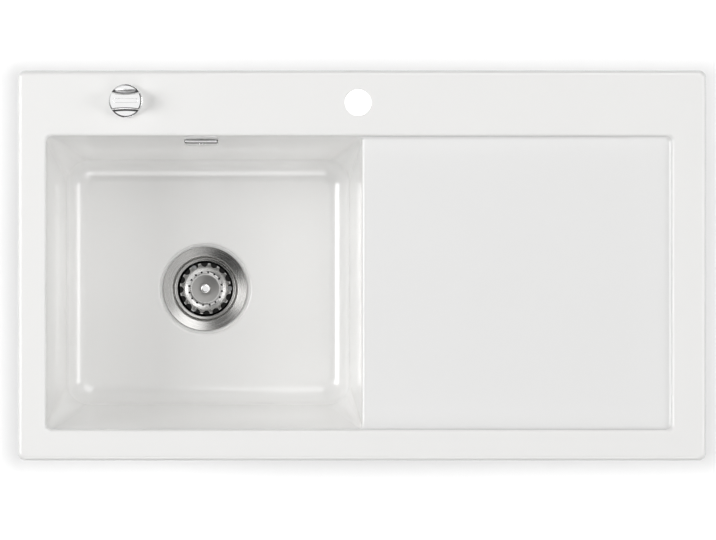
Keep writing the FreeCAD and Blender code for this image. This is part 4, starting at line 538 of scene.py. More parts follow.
def sink_inside(shape, size, top):
    """Recess, lip, bowl and the flat edge of the deck round them."""
    lip_z = top - size.recess_depth
    floor_z = top - size.bowl_depth
    left, right = -size.recess_left, size.recess_right
    front, back = -size.recess_front, size.recess_back
    middle = Vector(((left + right) / 2, (front + back) / 2, top))
    spread = Matrix.Diagonal((right - left, back - front, 1, 1))
    bmesh.ops.create_grid(
        shape, x_segments=1, y_segments=1, size=0.5, matrix=Matrix.Translation(middle) @ spread
    )
    bmesh.ops.bisect_plane(
        shape, geom=shape.verts[:] + shape.edges[:] + shape.faces[:],
        plane_co=(size.lip, 0, 0), plane_no=(1, 0, 0),
    )
    region = shape.faces[:]
    bmesh.ops.inset_region(
        shape, faces=region, thickness=0.002, depth=-size.recess_depth, use_boundary=True,
        use_even_offset=True,
    )
    bowl, drain = sorted(region, key=lambda face: face.calc_center_median().x)
    places = floor_places(size, size.recess_depth)
    for vert in {*bowl.verts, *drain.verts}:
        on_right = vert.co.x > size.lip + 0.01
        vert.co.y = places[3] if vert.co.y > 0 else places[1]
        vert.co.z = lip_z + (size.drain_rise if on_right else 0)
        if on_right:
            vert.co.x = right - size.recess_lean
        else:
            vert.co.x = places[0] if vert.co.x < left + 0.01 else size.lip
    bmesh.ops.inset_region(
        shape, faces=[bowl], thickness=0.018, depth=floor_z - lip_z, use_boundary=True,
        use_even_offset=True,
    )
    low = floor_places(size, size.bowl_depth)
    for vert in bowl.verts:
        vert.co.x = low[2] if vert.co.x > middle.x - 0.2 else low[0]
        vert.co.y = low[3] if vert.co.y > 0 else low[1]
        vert.co.z = floor_z

    def spare(edge):
        a, b = (vert.co for vert in edge.verts)
        both_lip = near(a.x, size.lip) and near(b.x, size.lip)
        level = near(a.z, lip_z) and near(b.z, lip_z)
        across = level and max(a.x, b.x) < size.lip + 1e-4 and not both_lip
        upright = both_lip and near(max(a.z, b.z), top) and not near(a.z, b.z)
        return across or upright

    bmesh.ops.dissolve_edges(
        shape, edges=[edge for edge in shape.edges if spare(edge)], use_verts=True
    )
    mark(shape, shape.faces, 1)
    uprights = [
        edge for edge in shape.edges
        if near(max(vert.co.z for vert in edge.verts), top)
        and min(vert.co.z for vert in edge.verts) < top - 0.005
    ]
    round_off(shape, uprights, size.recess_corner, 12)
    rim = [edge for edge in shape.edges if edge.is_boundary]
    flange = 0.012
    scale = (1 + 2 * flange / (right - left), 1 + 2 * flange / (back - front), 1)
    carry(shape, rim, about(middle, scale))
    bowl = min(shape.faces, key=lambda face: face.calc_center_median().z)
    level = [
        face for face in shape.faces
        if abs(face.normal.z) > 0.9 and near(face.calc_center_median().z, lip_z, 0.004)
    ]
    drain = max(level, key=lambda face: face.calc_area())
    chosen = set(drain.edges)
    for vert in drain.verts:
        if near(vert.co.x, size.lip):
            chosen.update(
                edge for edge in vert.link_edges
                if min(end.co.z for end in edge.verts) < floor_z + 1e-4
            )
    round_off(shape, list(chosen), size.lip_round, 8)
    bowl = min(shape.faces, key=lambda face: face.calc_center_median().z)
    corners = plan_corners(*low)
    widen_corners(shape, bowl, corners[1:3], size.lip_round, size.floor_corner)
    widen_corners(shape, bowl, [corners[0], corners[3]], size.recess_corner, size.floor_corner)
    round_off(shape, list(bowl.edges), size.floor_round, 12)

    def turns_down(edge):
        if len(edge.link_faces) != 2 or not all(near(vert.co.z, top) for vert in edge.verts):
            return False
        first, second = edge.link_faces
        return abs(first.normal.z - second.normal.z) > 0.5

    round_off(
        shape, [edge for edge in shape.edges if turns_down(edge)], size.recess_round * 0.84, 8
    )
    return [edge for edge in shape.edges if edge.is_boundary]


def sink_rim(shape, size, top):
    """The rounded edge of the rim; gives back its upper and lower loops."""
    sheet = new_shape()
    low = (SINK_LOW.x, SINK_LOW.y)
    high = (SINK_HIGH.x, SINK_HIGH.y)
    lower = box_loop(sheet, low, high, 0.0, size.corner)
    upper = carry(sheet, lower, shift(z=top))
    lid = bmesh.ops.contextual_create(sheet, geom=upper)["faces"]
    mark(sheet, sheet.faces, 1)
    round_off(sheet, list(lid[0].edges), size.rim_round, 10)
    lid = max(sheet.faces, key=lambda face: face.calc_area())
    bmesh.ops.delete(sheet, geom=[lid], context="FACES_ONLY")
    edges = join(shape, sheet)
    loose = [edge for edge in edges if edge.is_boundary]
    upper = [edge for edge in loose if near(edge.verts[0].co.z, top)]
    lower = [edge for edge in loose if near(edge.verts[0].co.z, 0)]
    return upper, lower


def inset_scale(inset, reach):
    """Scale that brings the rim's outline in by an inset, from where it is now."""
    half_x, half_y = SINK_HIGH.x - reach, SINK_HIGH.y - reach
    return about((0, 0, 0), ((half_x - inset) / half_x, (half_y - inset) / half_y, 1))


def sink_under(shape, size, lower, rooms, floor_hole):
    """The underside: seat, groove, apron, hollows and the outside of the bowl."""
    groove = size.seat - size.seal
    edges = carry(shape, lower, inset_scale(groove, 0))
    edges = carry(shape, edges, shift(z=size.seal_groove))
    edges = carry(shape, edges, inset_scale(size.seal, groove))
    soft = 0.0015
    edges = carry(shape, edges, shift(z=-size.seal_groove - size.apron + soft))
    steps = 4
    for step in range(1, steps + 1):
        angle = math.pi / 2 * step / steps
        before = math.pi / 2 * (step - 1) / steps
        inward = soft * (math.cos(before) - math.cos(angle))
        down = soft * (math.sin(angle) - math.sin(before))
        gone = soft * (1 - math.cos(before))
        edges = carry(
            shape, edges, shift(z=-down) @ inset_scale(inward, size.seat + gone), flat=0
        )
    base = -size.apron
    loops = list(edges)
    first = size.lip + size.wall + size.seat
    last = SINK_HIGH.x - 2 * size.seat
    width = (last - first - 2 * size.rib) / 3
    for index in range(3):
        start = first + index * (width + size.rib)
        hollow = box_loop(
            shape, (start, SINK_LOW.y + 2 * size.seat),
            (start + width, size.recess_back + size.wall), base, size.corner, segments=6,
        )
        loops += hollow
        roof = carry(shape, hollow, shift(z=size.hollow))
        fill(shape, roof, -UP)
    loops += rooms
    top = SINK_HIGH.z
    outside = new_shape()
    high = floor_places(size, size.apron + top, size.wall)
    deep = size.bowl_depth + size.floor_thickness
    low = floor_places(size, deep, size.wall)
    corner = size.recess_corner + size.wall
    upper = box_loop(outside, high[:2], high[2:], base, corner)
    middle = Vector(((high[0] + high[2]) / 2, (high[1] + high[3]) / 2, 0))
    target = Vector(((low[0] + low[2]) / 2, (low[1] + low[3]) / 2, 0))
    scale = (
        (low[2] - low[0]) / (high[2] - high[0]), (low[3] - low[1]) / (high[3] - high[1]), 1
    )
    place = Matrix.Translation(target - middle + Vector((0, 0, top - deep - base)))
    lower = carry(outside, upper, place @ about(middle, scale))
    floor = bmesh.ops.contextual_create(outside, geom=lower)["faces"][0]
    mark(outside, outside.faces, 1)
    widen_corners(
        outside, floor, plan_corners(*low), corner * scale[0], size.floor_corner + size.wall
    )
    round_off(outside, list(floor.edges), size.floor_round, 12)
    floor = max(
        (face for face in outside.faces if abs(face.normal.z) > 0.9),
        key=lambda face: face.calc_area(),
    )
    bmesh.ops.delete(outside, geom=[floor], context="FACES_ONLY")
    edges = join(shape, outside)
    loose = [edge for edge in edges if edge.is_boundary]
    loops += [edge for edge in loose if near(edge.verts[0].co.z, base)]
    fill(shape, loops, -UP)
    fill(
        shape, [edge for edge in loose if not near(edge.verts[0].co.z, base)] + floor_hole, -UP
    )


def wall_place(size, overflow):
    """Frame on the bowl's back wall at the overflow: X along, Y up the wall, Z into the bowl."""
    lean = wall_lean(size)
    centre = (
        waste_centre()[0], size.recess_back - overflow.drop * lean, SINK_HIGH.z - overflow.drop
    )
    return Matrix.Translation(centre) @ Matrix.Rotation(math.pi / 2 - math.atan(lean), 4, "X")


def waste_centre():
    """The waste's axis, seen from above."""
    return ((CUP_LOW.x + CUP_HIGH.x) / 2, (CUP_LOW.y + CUP_HIGH.y) / 2)


def cut_slot(shape, size, overflow):
    """The overflow's slot through the back wall."""
    place = wall_place(size, overflow)
    into = (place.to_3x3() @ UP).normalized()
    centre = place.translation

    def wall_at(point):
        def off(face):
            return abs((point - face.calc_center_median()).dot(face.normal))

        faces = [
            face for face in shape.faces
            if abs(face.normal.dot(into)) > 0.9999 and off(face) < 2e-4
        ]
        return max(faces, key=lambda face: face.calc_area())

    half_x, half_y = overflow.slot_length / 2, overflow.slot_height / 2
    loop = box_loop(
        shape, (-half_x, -half_y), (half_x, half_y), 0, half_y * 0.998, segments=8, place=place
    )
    through = size.wall * math.cos(math.atan(wall_lean(size)))
    far = carry(shape, loop, Matrix.Translation(-into * through))
    for point, edges in ((centre, loop), (centre - into * through, far)):
        wall = wall_at(point)
        border = list(wall.edges)
        normal = wall.normal.copy()
        bmesh.ops.delete(shape, geom=[wall], context="FACES_ONLY")
        fill(shape, border + edges, normal)


def deck_hole(shape, size, centre, top):
    """A hole with a soft rim and a round room for its nut; gives back both open loops."""
    soft = 0.001
    upper = circle_loop(shape, (*centre, top), size.hole_radius + soft, segments=96)
    roof = -size.apron + size.hollow
    steps = quarter(size.hole_radius, top, soft, soft, steps=4)
    steps += [
        (size.hole_radius, roof, 1), (size.nut_room, roof, 1), (size.nut_room, -size.apron, 1),
    ]
    lower = ring_steps(shape, upper, centre, (size.hole_radius + soft, top), steps)
    return upper, lower


def waste_seat(shape, size, waste, top):
    """The floor's fall, the soft edge and the seat of the waste; gives back both open loops."""
    centre = waste_centre()
    floor = top - size.bowl_depth
    edge = floor - waste.fall
    seat = floor - waste.seat_drop
    upper = circle_loop(shape, (*centre, floor), waste.fall_radius)
    inner_seat = seat - 0.3 * (waste.seat_radius - waste.hole_radius)
    steps = [(waste.edge_radius + waste.edge_round, edge, 1)]
    steps += quarter(waste.edge_radius, edge, waste.edge_round, 0.9 * (edge - seat), steps=10)
    steps += [
        (waste.edge_radius, seat, 1), (waste.seat_radius, seat, 1),
        (waste.hole_radius, inner_seat, 1),
        (waste.hole_radius, floor - size.floor_thickness, 1),
    ]
    lower = ring_steps(shape, upper, centre, (waste.fall_radius, floor), steps)
    return upper, lower


def control_centre():
    """The rotary control's axis, seen from above."""
    return ((KNOB_LOW.x + KNOB_HIGH.x) / 2, (KNOB_LOW.y + KNOB_HIGH.y) / 2)


class SINK_OT_ceramic(bpy.types.Operator):
    """Model the glazed ceramic sink with its bowl, drainboard, holes and underside"""

    bl_idname = "sink.make_ceramic"
    bl_label = "Glazed sink"

    def execute(self, context):
        size = context.scene.sink_ceramic
        waste = context.scene.sink_waste
        overflow = context.scene.sink_overflow
        top = SINK_HIGH.z
        shape = new_shape()
        flange = sink_inside(shape, size, top)
        bowl = min(shape.faces, key=lambda face: face.calc_center_median().z)
        floor_edges = list(bowl.edges)
        bmesh.ops.delete(shape, geom=[bowl], context="FACES_ONLY")
        upper, lower = sink_rim(shape, size, top)
        tap, tap_room = deck_hole(shape, size, (size.tap_x, size.tap_y), top)
        control, control_room = deck_hole(shape, size, control_centre(), top)
        fill(shape, flange + upper + tap + control, UP)
        fall, floor_hole = waste_seat(shape, size, waste, top)
        fill(shape, floor_edges + fall, UP)
        sink_under(shape, size, lower, tap_room + control_room, floor_hole)
        cut_slot(shape, size, overflow)
        bmesh.ops.remove_doubles(shape, verts=shape.verts[:], dist=1e-6)
        bmesh.ops.recalc_face_normals(shape, faces=shape.faces[:])
        present(shape, "glazed_sink", "sink", "ceramic", ["sink_body"])
        return {"FINISHED"}


# --- strainer cup and basket ---
class SINK_OT_strainer(bpy.types.Operator):
    """Model the pressed steel strainer cup with its flange"""

    bl_idname = "sink.make_strainer"
    bl_label = "Strainer cup"

    def execute(self, context):
        waste = context.scene.sink_waste
        sheet = waste.sheet
        slope, taper = 0.3, 0.0007
        low = CUP_HIGH.z - sheet
        mouth = low - slope * (waste.flange_radius - waste.mouth_radius)
        base = SINK_HIGH.z - context.scene.sink_ceramic.bowl_depth
        step, floor = base - waste.step_drop, base - waste.cup_drop
        outer = waste.mouth_radius + 0.8 * sheet
        points = [
            (waste.flange_radius, low, 0),
            (waste.flange_radius, low + sheet, 0.45 * sheet),
            (waste.mouth_radius, mouth + sheet, 1.4 * sheet),
            (waste.step_radius, step, 1.5 * sheet),
            (waste.cup_radius, step - sheet, 1.2 * sheet),
            (waste.cup_radius - taper, floor, 2.0 * sheet),
            (waste.outlet_radius, floor, 0),
            (waste.outlet_radius, floor - sheet, 0),
            (waste.cup_radius - taper + sheet, floor - sheet, 2.5 * sheet),
            (waste.cup_radius + sheet, step - 2 * sheet, 0.5 * sheet),
            (waste.step_radius + sheet, step - sheet, sheet),
            (outer, mouth - slope * 0.8 * sheet, 0.5 * sheet),
        ]
        shape = turned(points, (*waste_centre(), 0), segments=5)
        present(shape, "steel_strainer_cup", "sink", "brushed_steel", ["strainer_cup"])
        return {"FINISHED"}


def posts(count, circle, radius, turn, low, high, centre):
    """A ring of upright pegs, used as cutters."""
    shape = new_shape()
    for index in range(count):
        angle = turn + 2 * math.pi * index / count
        place = Matrix.Translation((
            centre[0] + circle * math.cos(angle), centre[1] + circle * math.sin(angle),
            (low + high) / 2,
        ))
        bmesh.ops.create_cone(
            shape, cap_ends=True, cap_tris=False, segments=24, radius1=radius, radius2=radius,
            depth=high - low, matrix=place,
        )
    return shape


class SINK_OT_basket(bpy.types.Operator):
    """Model the strainer basket with its teeth and drain holes, and its pull knob"""

    bl_idname = "sink.make_basket"
    bl_label = "Strainer basket"

    def execute(self, context):
        size = context.scene.sink_basket
        centre = waste_centre()
        low = BASKET_LOW.z
        inside = low + size.sheet
        dish = inside - 0.5 * size.bead
        band = inside + size.band_rise
        points = [
            (0, low, 0),
            (size.base_radius, low, 0.002),
            (size.band_radius + 0.7 * size.sheet, band - size.sheet, 0.002),
            (size.radius + size.sheet, low + size.height, 0.0003),
            (size.radius, low + size.height, 0.0003),
            (size.band_radius, band, 0.002),
            (size.base_radius - 0.5 * size.sheet, inside, 0.0010),
            (size.bead_radius + size.bead, inside, 0.0007),
            (size.bead_radius, inside + size.bead, 0.0005),
            (size.dish_radius, inside + size.bead, 0.0006),
            (size.pull_neck + size.bead, dish, 0.0008),
            (0, dish, 0),
        ]
        crown = turned(points, (*centre, 0), segments=4)
        turn = size.tooth_turn
        notches = posts(
            size.teeth, size.notch_circle, size.notch_radius, turn + math.pi / size.teeth,
            inside + size.bead, low + 2 * size.height, centre,
        )
        holes = posts(
            size.teeth, size.hole_circle, size.hole_radius, turn, low - size.height,
            low + size.height, centre,
        )
        crown = cut(crown, notches, holes)
        present(crown, "steel_basket", "basket", "polished_steel", ["strainer_basket"])
        foot = PULL_LOW.z
        tall = PULL_HIGH.z - PULL_LOW.z
        head, neck = size.pull_radius, size.pull_neck
        points = [
            (0, foot, 0),
            (neck + 0.0006, foot, 0),
            (neck, foot + 0.0006, 0.0004),
            (neck, foot + 0.5 * tall, 0.002),
            (head - 0.0008, foot + 0.7 * tall, 0.001),
            (head, foot + 0.8 * tall, 0.0008),
            (head - 0.0005, foot + 0.95 * tall, 0.0006),
            (head - 0.002, foot + tall, 0.0008),
            (0, foot + tall, 0),
        ]
        pull = turned(points, (*centre, 0), steps=64, segments=4)
        knob = present(pull, "basket_pull", "basket", "polished_steel", ["basket_knob"])
        tint = context.scene.sink_finishes
        knob.data.materials[0] = metal_finish("turned_pull", tint.chrome, 0.16)
        return {"FINISHED"}


# --- overflow cover ---
class SINK_OT_overflow(bpy.types.Operator):
    """Model the overflow's chrome cover and its screw"""

    bl_idname = "sink.make_overflow"
    bl_label = "Overflow cover"

    def execute(self, context):
        size = context.scene.sink_overflow
        place = wall_place(context.scene.sink_ceramic, size)
        half = Vector((size.length / 2, size.height / 2))
        inner = half - Vector((size.sheet, size.sheet))

        def outline(shape):
            return box_loop(shape, -half, half, size.gap, size.corner, segments=8)

        def hollow(shape):
            return box_loop(
                shape, -inner, inner, size.gap - 0.001, size.corner - size.sheet, segments=6
            )

        pan = prism(size.gap, size.stand_off, outline)
        face_edges = [
            edge for edge in pan.edges
            if all(near(vert.co.z, size.stand_off, 1e-6) for vert in edge.verts)
        ]
        round_off(pan, face_edges, size.face_round, 6)
        floor = size.stand_off - size.sheet
        vent = Matrix.Diagonal((size.vent, 2 * size.height, 2 * size.vent_gap, 1))
        vents = new_shape()
        bmesh.ops.create_cube(vents, size=1, matrix=vent)
        play = 0.00025
        screw_hole = posts(1, 0, size.screw_radius + play, 0, 0, 2 * size.stand_off, (0, 0))
        pan = cut(pan, prism(size.gap - 0.001, floor, hollow), vents, screw_hole)
        bmesh.ops.transform(pan, matrix=place, verts=pan.verts[:])
        plate = present(pan, "overflow_plate", "sink", "chrome", ["overflow_cover"])
        plate.data.materials[0] = cover_finish(context.scene.sink_finishes)
        head = size.stand_off + 0.0001
        radius, tip = size.head_radius, -0.006
        points = [
            (0, tip, 0),
            (size.screw_radius, tip, 0),
            (size.screw_radius, head, 0),
            (radius, head, 0),
            (radius, head + 0.0004, 0.0002),
            (radius - 0.001, head + 0.0007, 0.0003),
            (0, head + 0.0008, 0),
        ]
        screw = turned(points, steps=64)
        slot = new_shape()
        bar = Matrix.Diagonal((4 * radius, 0.001, 0.001, 1))
        bmesh.ops.create_cube(slot, size=1, matrix=shift(z=head + 0.0009) @ bar)
        screw = cut(screw, slot)
        bmesh.ops.transform(screw, matrix=place, verts=screw.verts[:])
        present(screw, "overflow_plate_screw", "sink", "chrome", ["overflow_screw"])
        return {"FINISHED"}


# --- rotary control ---
class SINK_OT_control(bpy.types.Operator):
    """Model the chrome knob with its grip bar, and the collar under it"""

    bl_idname = "sink.make_control"
    bl_label = "Rotary control"

    def execute(self, context):
        size = context.scene.sink_control
        centre = (*control_centre(), 0)
        radius = (COLLAR_HIGH.x - COLLAR_LOW.x) / 2
        low, top = COLLAR_LOW.z, COLLAR_HIGH.z
        roof, skirt = 0.0011, 0.0013
        points = [
            (size.bore, top - roof, 0),
            (radius - skirt, top - roof, 0),
            (radius - skirt, low, 0),
            (radius, low, 0.0002),
            (radius, top, 0.0008),
            (size.bore, top, 0.0003),
        ]
        collar = turned(points, centre)
        present(collar, "knob_collar", "sink", "chrome", ["control_escutcheon"])
        radius = (KNOB_HIGH.x - KNOB_LOW.x) / 2
        low, top = KNOB_LOW.z, KNOB_HIGH.z
        floor = low + size.scoop_floor
        edge, grip_edge, over = size.edge, size.grip_edge, 0.002
        overlap = 0.0005
        disc_outline = [
            (0, low, 0), (radius, low, 0.0004), (radius, floor - edge, 0),
            (radius - edge, floor, 0), (0, floor, 0),
        ]
        bar_outline = [
            (0, floor - overlap, 0), (radius, floor - overlap, 0), (radius, top - edge, 0),
            (radius - edge, top, 0), (0, top, 0),
        ]
        disc, bar = turned(disc_outline, centre), turned(bar_outline, centre)
        back_slope, front_slope = 0.75, 0.90
        cutters = []
        for side, reach, lean, foot, slope in (
            (1, size.bar_back, size.back_lean, size.back_foot, back_slope),
            (-1, size.bar_front, size.front_lean, size.front_foot, front_slope),
        ):
            wide = size.scoop_radius
            low_wall = wide - lean
            scoop = turned(
                [
                    (0, floor - over, 0),
                    (low_wall - foot, floor - over, 0),
                    (low_wall - foot, floor, 0),
                    (low_wall, floor + slope * foot, 0.0004),
                    (wide, top - grip_edge, 0),
                    (wide + grip_edge, top, 0),
                    (wide + grip_edge + over, top + over, 0),
                    (0, top + over, 0),
                ],
                (centre[0], centre[1] + side * (reach + grip_edge + wide), 0), steps=512,
            )
            cutters.append(scoop)
        half = Vector((size.groove_length / 2, size.groove_width / 2))
        start = top - size.groove_depth

        def groove(shape):
            return box_loop(shape, -half, half, start, half.y * 0.96, segments=10)

        cutters.append(prism(start, top + over, groove, shift(centre[0], centre[1])))
        bar = cut(bar, *cutters)

        def in_groove(edge):
            return all(
                abs(vert.co.y - centre[1]) < 1.1 * half.y and vert.co.z > start - 1e-5
                and abs(vert.co.x - centre[0]) < half.x + 1e-4
                for vert in edge.verts
            )

        sharp = corners_over(bar, math.radians(30))
        round_off(bar, [edge for edge in sharp if in_groove(edge)], 0.0002, 2)
        knob = cut(disc, bar, operation="UNION")
        present(knob, "chrome_knob", "control", "chrome", ["control_knob"])
        return {"FINISHED"}


# --- finishes ---
def socket(group, name, kind, default=None, output=False):
    made = group.interface.new_socket(
        name=name, in_out="OUTPUT" if output else "INPUT", socket_type=kind
    )
    if default is not None:
        made.default_value = default
    return made


def node(tree, kind, **values):
    made = tree.nodes.new(kind)
    for name, value in values.items():
        setattr(made, name, value)
    return made


def math_node(tree, operation, first, second=None):
    made = node(tree, "ShaderNodeMath", operation=operation)
    for index, value in enumerate((first, second)):
        if isinstance(value, (int, float)):
            made.inputs[index].default_value = value
        elif value is not None:
            tree.links.new(value, made.inputs[index])
    return made.outputs[0]


def ramp(tree, value, start, end, low=0.0, high=1.0):
    """A value that goes from low at the start to high at the end; sockets are linked."""
    made = node(tree, "ShaderNodeMapRange")
    names = ("Value", "From Min", "From Max", "To Min", "To Max")
    for name, given in zip(names, (value, start, end, low, high)):
        if isinstance(given, (int, float)):
            made.inputs[name].default_value = given
        else:
            tree.links.new(given, made.inputs[name])
    return made.outputs["Result"]


def object_place(tree):
    """The piece's own coordinates, and their X, Y and Z."""
    place = node(tree, "ShaderNodeTexCoord").outputs["Object"]
    split = node(tree, "ShaderNodeSeparateXYZ")
    tree.links.new(place, split.inputs[0])
    return place, split.outputs["X"], split.outputs["Y"], split.outputs["Z"]


def tinted(tree, shader, mask, colour, blend_type="MIX"):
    """Blend a colour over the shader's base colour where the mask is."""
    blend = node(tree, "ShaderNodeMix", data_type="RGBA", blend_type=blend_type)
    tree.links.new(shader.inputs["Base Color"].links[0].from_socket, blend.inputs[6])
    blend.inputs[7].default_value = colour
    tree.links.new(mask, blend.inputs[0])
    tree.links.new(blend.outputs[2], shader.inputs["Base Color"])


def direct_rays(tree, seen):
    """Rays that see a thing from the camera, in a mirror or through glass."""
    first = math_node(
        tree, "MAXIMUM", seen.outputs["Is Camera Ray"], seen.outputs["Is Glossy Ray"]
    )
    return math_node(tree, "MAXIMUM", first, seen.outputs["Is Transmission Ray"])


def clouds_group():
    """Soft clouds that blend two colours and two roughnesses, with a faint swell."""
    group = bpy.data.node_groups.get("surface_clouds")
    if group:
        return group
    group = bpy.data.node_groups.new("surface_clouds", "ShaderNodeTree")
    socket(group, "Position", "NodeSocketVector")
    socket(group, "Size", "NodeSocketFloat", 0.05)
    socket(group, "Light Colour", "NodeSocketColor", (0.8, 0.8, 0.8, 1))
    socket(group, "Dark Colour", "NodeSocketColor", (0.7, 0.7, 0.7, 1))
    socket(group, "Low Roughness", "NodeSocketFloat", 0.3)
    socket(group, "High Roughness", "NodeSocketFloat", 0.4)
    socket(group, "Colour", "NodeSocketColor", output=True)
    socket(group, "Roughness", "NodeSocketFloat", output=True)
    socket(group, "Height", "NodeSocketFloat", output=True)
    enter = node(group, "NodeGroupInput")
    leave = node(group, "NodeGroupOutput")
    scale = math_node(group, "DIVIDE", 1.0, enter.outputs["Size"])
    noise = node(group, "ShaderNodeTexNoise")
    noise.inputs["Detail"].default_value = 3
    group.links.new(enter.outputs["Position"], noise.inputs["Vector"])
    group.links.new(scale, noise.inputs["Scale"])
    blend = node(group, "ShaderNodeMix", data_type="RGBA")
    group.links.new(noise.outputs["Fac"], blend.inputs[0])
    group.links.new(enter.outputs["Light Colour"], blend.inputs[6])
    group.links.new(enter.outputs["Dark Colour"], blend.inputs[7])
    rough = ramp(
        group, noise.outputs["Fac"], 0.3, 0.7,
        enter.outputs["Low Roughness"], enter.outputs["High Roughness"],
    )
    group.links.new(blend.outputs[2], leave.inputs["Colour"])
    group.links.new(rough, leave.inputs["Roughness"])
    group.links.new(noise.outputs["Fac"], leave.inputs["Height"])
    return group


def turning_group():
    """Fine rings round an upright axis, as a lathe or a spinning brush leaves them."""
    group = bpy.data.node_groups.get("turning_marks")
    if group:
        return group
    group = bpy.data.node_groups.new("turning_marks", "ShaderNodeTree")
    socket(group, "Position", "NodeSocketVector")
    socket(group, "Pitch", "NodeSocketFloat", 0.0004)
    socket(group, "Low Roughness", "NodeSocketFloat", 0.2)
    socket(group, "High Roughness", "NodeSocketFloat", 0.4)
    socket(group, "Height", "NodeSocketFloat", output=True)
    socket(group, "Roughness", "NodeSocketFloat", output=True)
    enter = node(group, "NodeGroupInput")
    leave = node(group, "NodeGroupOutput")
    split = node(group, "ShaderNodeSeparateXYZ")
    group.links.new(enter.outputs["Position"], split.inputs[0])
    squares = math_node(
        group, "ADD", math_node(group, "POWER", split.outputs["X"], 2.0),
        math_node(group, "POWER", split.outputs["Y"], 2.0),
    )
    radius = math_node(group, "SQRT", squares)
    rings = math_node(group, "DIVIDE", radius, enter.outputs["Pitch"])
    turn = math_node(group, "ARCTAN2", split.outputs["Y"], split.outputs["X"])
    place = node(group, "ShaderNodeCombineXYZ")
    group.links.new(rings, place.inputs["X"])
    group.links.new(math_node(group, "MULTIPLY", turn, 1.5), place.inputs["Y"])
    group.links.new(
        math_node(group, "DIVIDE", split.outputs["Z"], enter.outputs["Pitch"]), place.inputs["Z"]
    )
    noise = node(group, "ShaderNodeTexNoise")
    noise.inputs["Scale"].default_value = 1.0
    noise.inputs["Detail"].default_value = 2
    group.links.new(place.outputs[0], noise.inputs["Vector"])
    rough = ramp(
        group, noise.outputs["Fac"], 0.25, 0.75,
        enter.outputs["Low Roughness"], enter.outputs["High Roughness"],
    )
    group.links.new(noise.outputs["Fac"], leave.inputs["Height"])
    group.links.new(rough, leave.inputs["Roughness"])
    return group


def rgba(value, scale=1.0):
    return (*(min(1.0, part * scale) for part in value), 1)


def start_finish(name):
    material = bpy.data.materials.new(name)
    material.use_nodes = True
    return material, material.node_tree, material.node_tree.nodes["Principled BSDF"]


def put_bump(tree, shader, height, depth):
    lift = node(tree, "ShaderNodeBump")
    lift.inputs["Strength"].default_value = 1.0
    lift.inputs["Distance"].default_value = depth
    tree.links.new(height, lift.inputs["Height"])
    tree.links.new(lift.outputs["Normal"], shader.inputs["Normal"])


def put_clouds(tree, shader, light, dark, low, high, cloud, bump=0.0, grain=0.0):
    """Colour and roughness from clouds, and a bump from finer ones."""
    place = node(tree, "ShaderNodeTexCoord")
    clouds = node(tree, "ShaderNodeGroup", node_tree=clouds_group())
    clouds.inputs["Size"].default_value = cloud
    clouds.inputs["Light Colour"].default_value = light
    clouds.inputs["Dark Colour"].default_value = dark
    clouds.inputs["Low Roughness"].default_value = low
    clouds.inputs["High Roughness"].default_value = high
    tree.links.new(place.outputs["Object"], clouds.inputs["Position"])
    tree.links.new(clouds.outputs["Colour"], shader.inputs["Base Color"])
    tree.links.new(clouds.outputs["Roughness"], shader.inputs["Roughness"])
    if bump:
        fine = node(tree, "ShaderNodeGroup", node_tree=clouds_group())
        fine.inputs["Size"].default_value = grain
        tree.links.new(place.outputs["Object"], fine.inputs["Position"])
        put_bump(tree, shader, fine.outputs["Height"], bump)


def put_turning(tree, shader, centre, pitch, low, high, bump):
    """Rings about an upright axis in roughness and bump."""
    place = node(tree, "ShaderNodeTexCoord")
    centred = node(tree, "ShaderNodeMapping")
    centred.inputs["Location"].default_value = (-centre[0], -centre[1], 0)
    rings = node(tree, "ShaderNodeGroup", node_tree=turning_group())
    rings.inputs["Pitch"].default_value = pitch
    rings.inputs["Low Roughness"].default_value = low
    rings.inputs["High Roughness"].default_value = high
    tree.links.new(place.outputs["Object"], centred.inputs["Vector"])
    tree.links.new(centred.outputs["Vector"], rings.inputs["Position"])
    tree.links.new(rings.outputs["Roughness"], shader.inputs["Roughness"])
    put_bump(tree, shader, rings.outputs["Height"], bump)


def glaze_finish(tint):
    """White glaze, with painted shade that makes it a little deeper in tone on the drainboard."""
    material, tree, shader = start_finish("glazed_ceramic")
    rough = tint.glaze_rough
    put_clouds(
        tree, shader, rgba(tint.glaze), rgba(tint.glaze_shade), rough, rough + 0.03, 0.12,
        bump=0.00002, grain=0.03,
    )
    height = object_place(tree)[3]
    # Painted shade: the drainboard, below the deck and above the bowl, is tinted darker.
    shallow = ramp(tree, height, SINK_HIGH.z - 0.018, SINK_HIGH.z - 0.012)
    sunk = ramp(tree, height, SINK_HIGH.z - 0.006, SINK_HIGH.z - 0.0005, 1.0, 0.0)
    board = math_node(tree, "MULTIPLY", shallow, sunk)
    tinted(tree, shader, board, rgba(tint.drainboard_shade), "MULTIPLY")
    shader.inputs["IOR"].default_value = 1.52
    shader.inputs["Coat Weight"].default_value = 0.6
    shader.inputs["Coat Roughness"].default_value = 0.04
    return material


def brushed_finish(tint):
    """Steel with fine rings from the brush, and painted shade that darkens it deep in the cup."""
    material, tree, shader = start_finish("brushed_stainless")
    shader.inputs["Metallic"].default_value = 1.0
    rough = tint.steel_rough
    put_turning(tree, shader, waste_centre(), 0.0005, rough, rough + 0.12, 0.00001)
    place, _, _, height = object_place(tree)
    clouds = node(tree, "ShaderNodeGroup", node_tree=clouds_group())
    clouds.inputs["Size"].default_value = 0.02
    clouds.inputs["Light Colour"].default_value = rgba(tint.steel, 1.06)
    clouds.inputs["Dark Colour"].default_value = rgba(tint.steel, 0.94)
    tree.links.new(place, clouds.inputs["Position"])
    tree.links.new(clouds.outputs["Colour"], shader.inputs["Base Color"])
    # Painted shade: the steel is darkened deep in the cup, where shade falls.
    deep = ramp(tree, height, CUP_LOW.z + 0.012, CUP_LOW.z + 0.026, 1.0, 0.0)
    tinted(tree, shader, deep, rgba(tint.steel, 0.06))
    return material


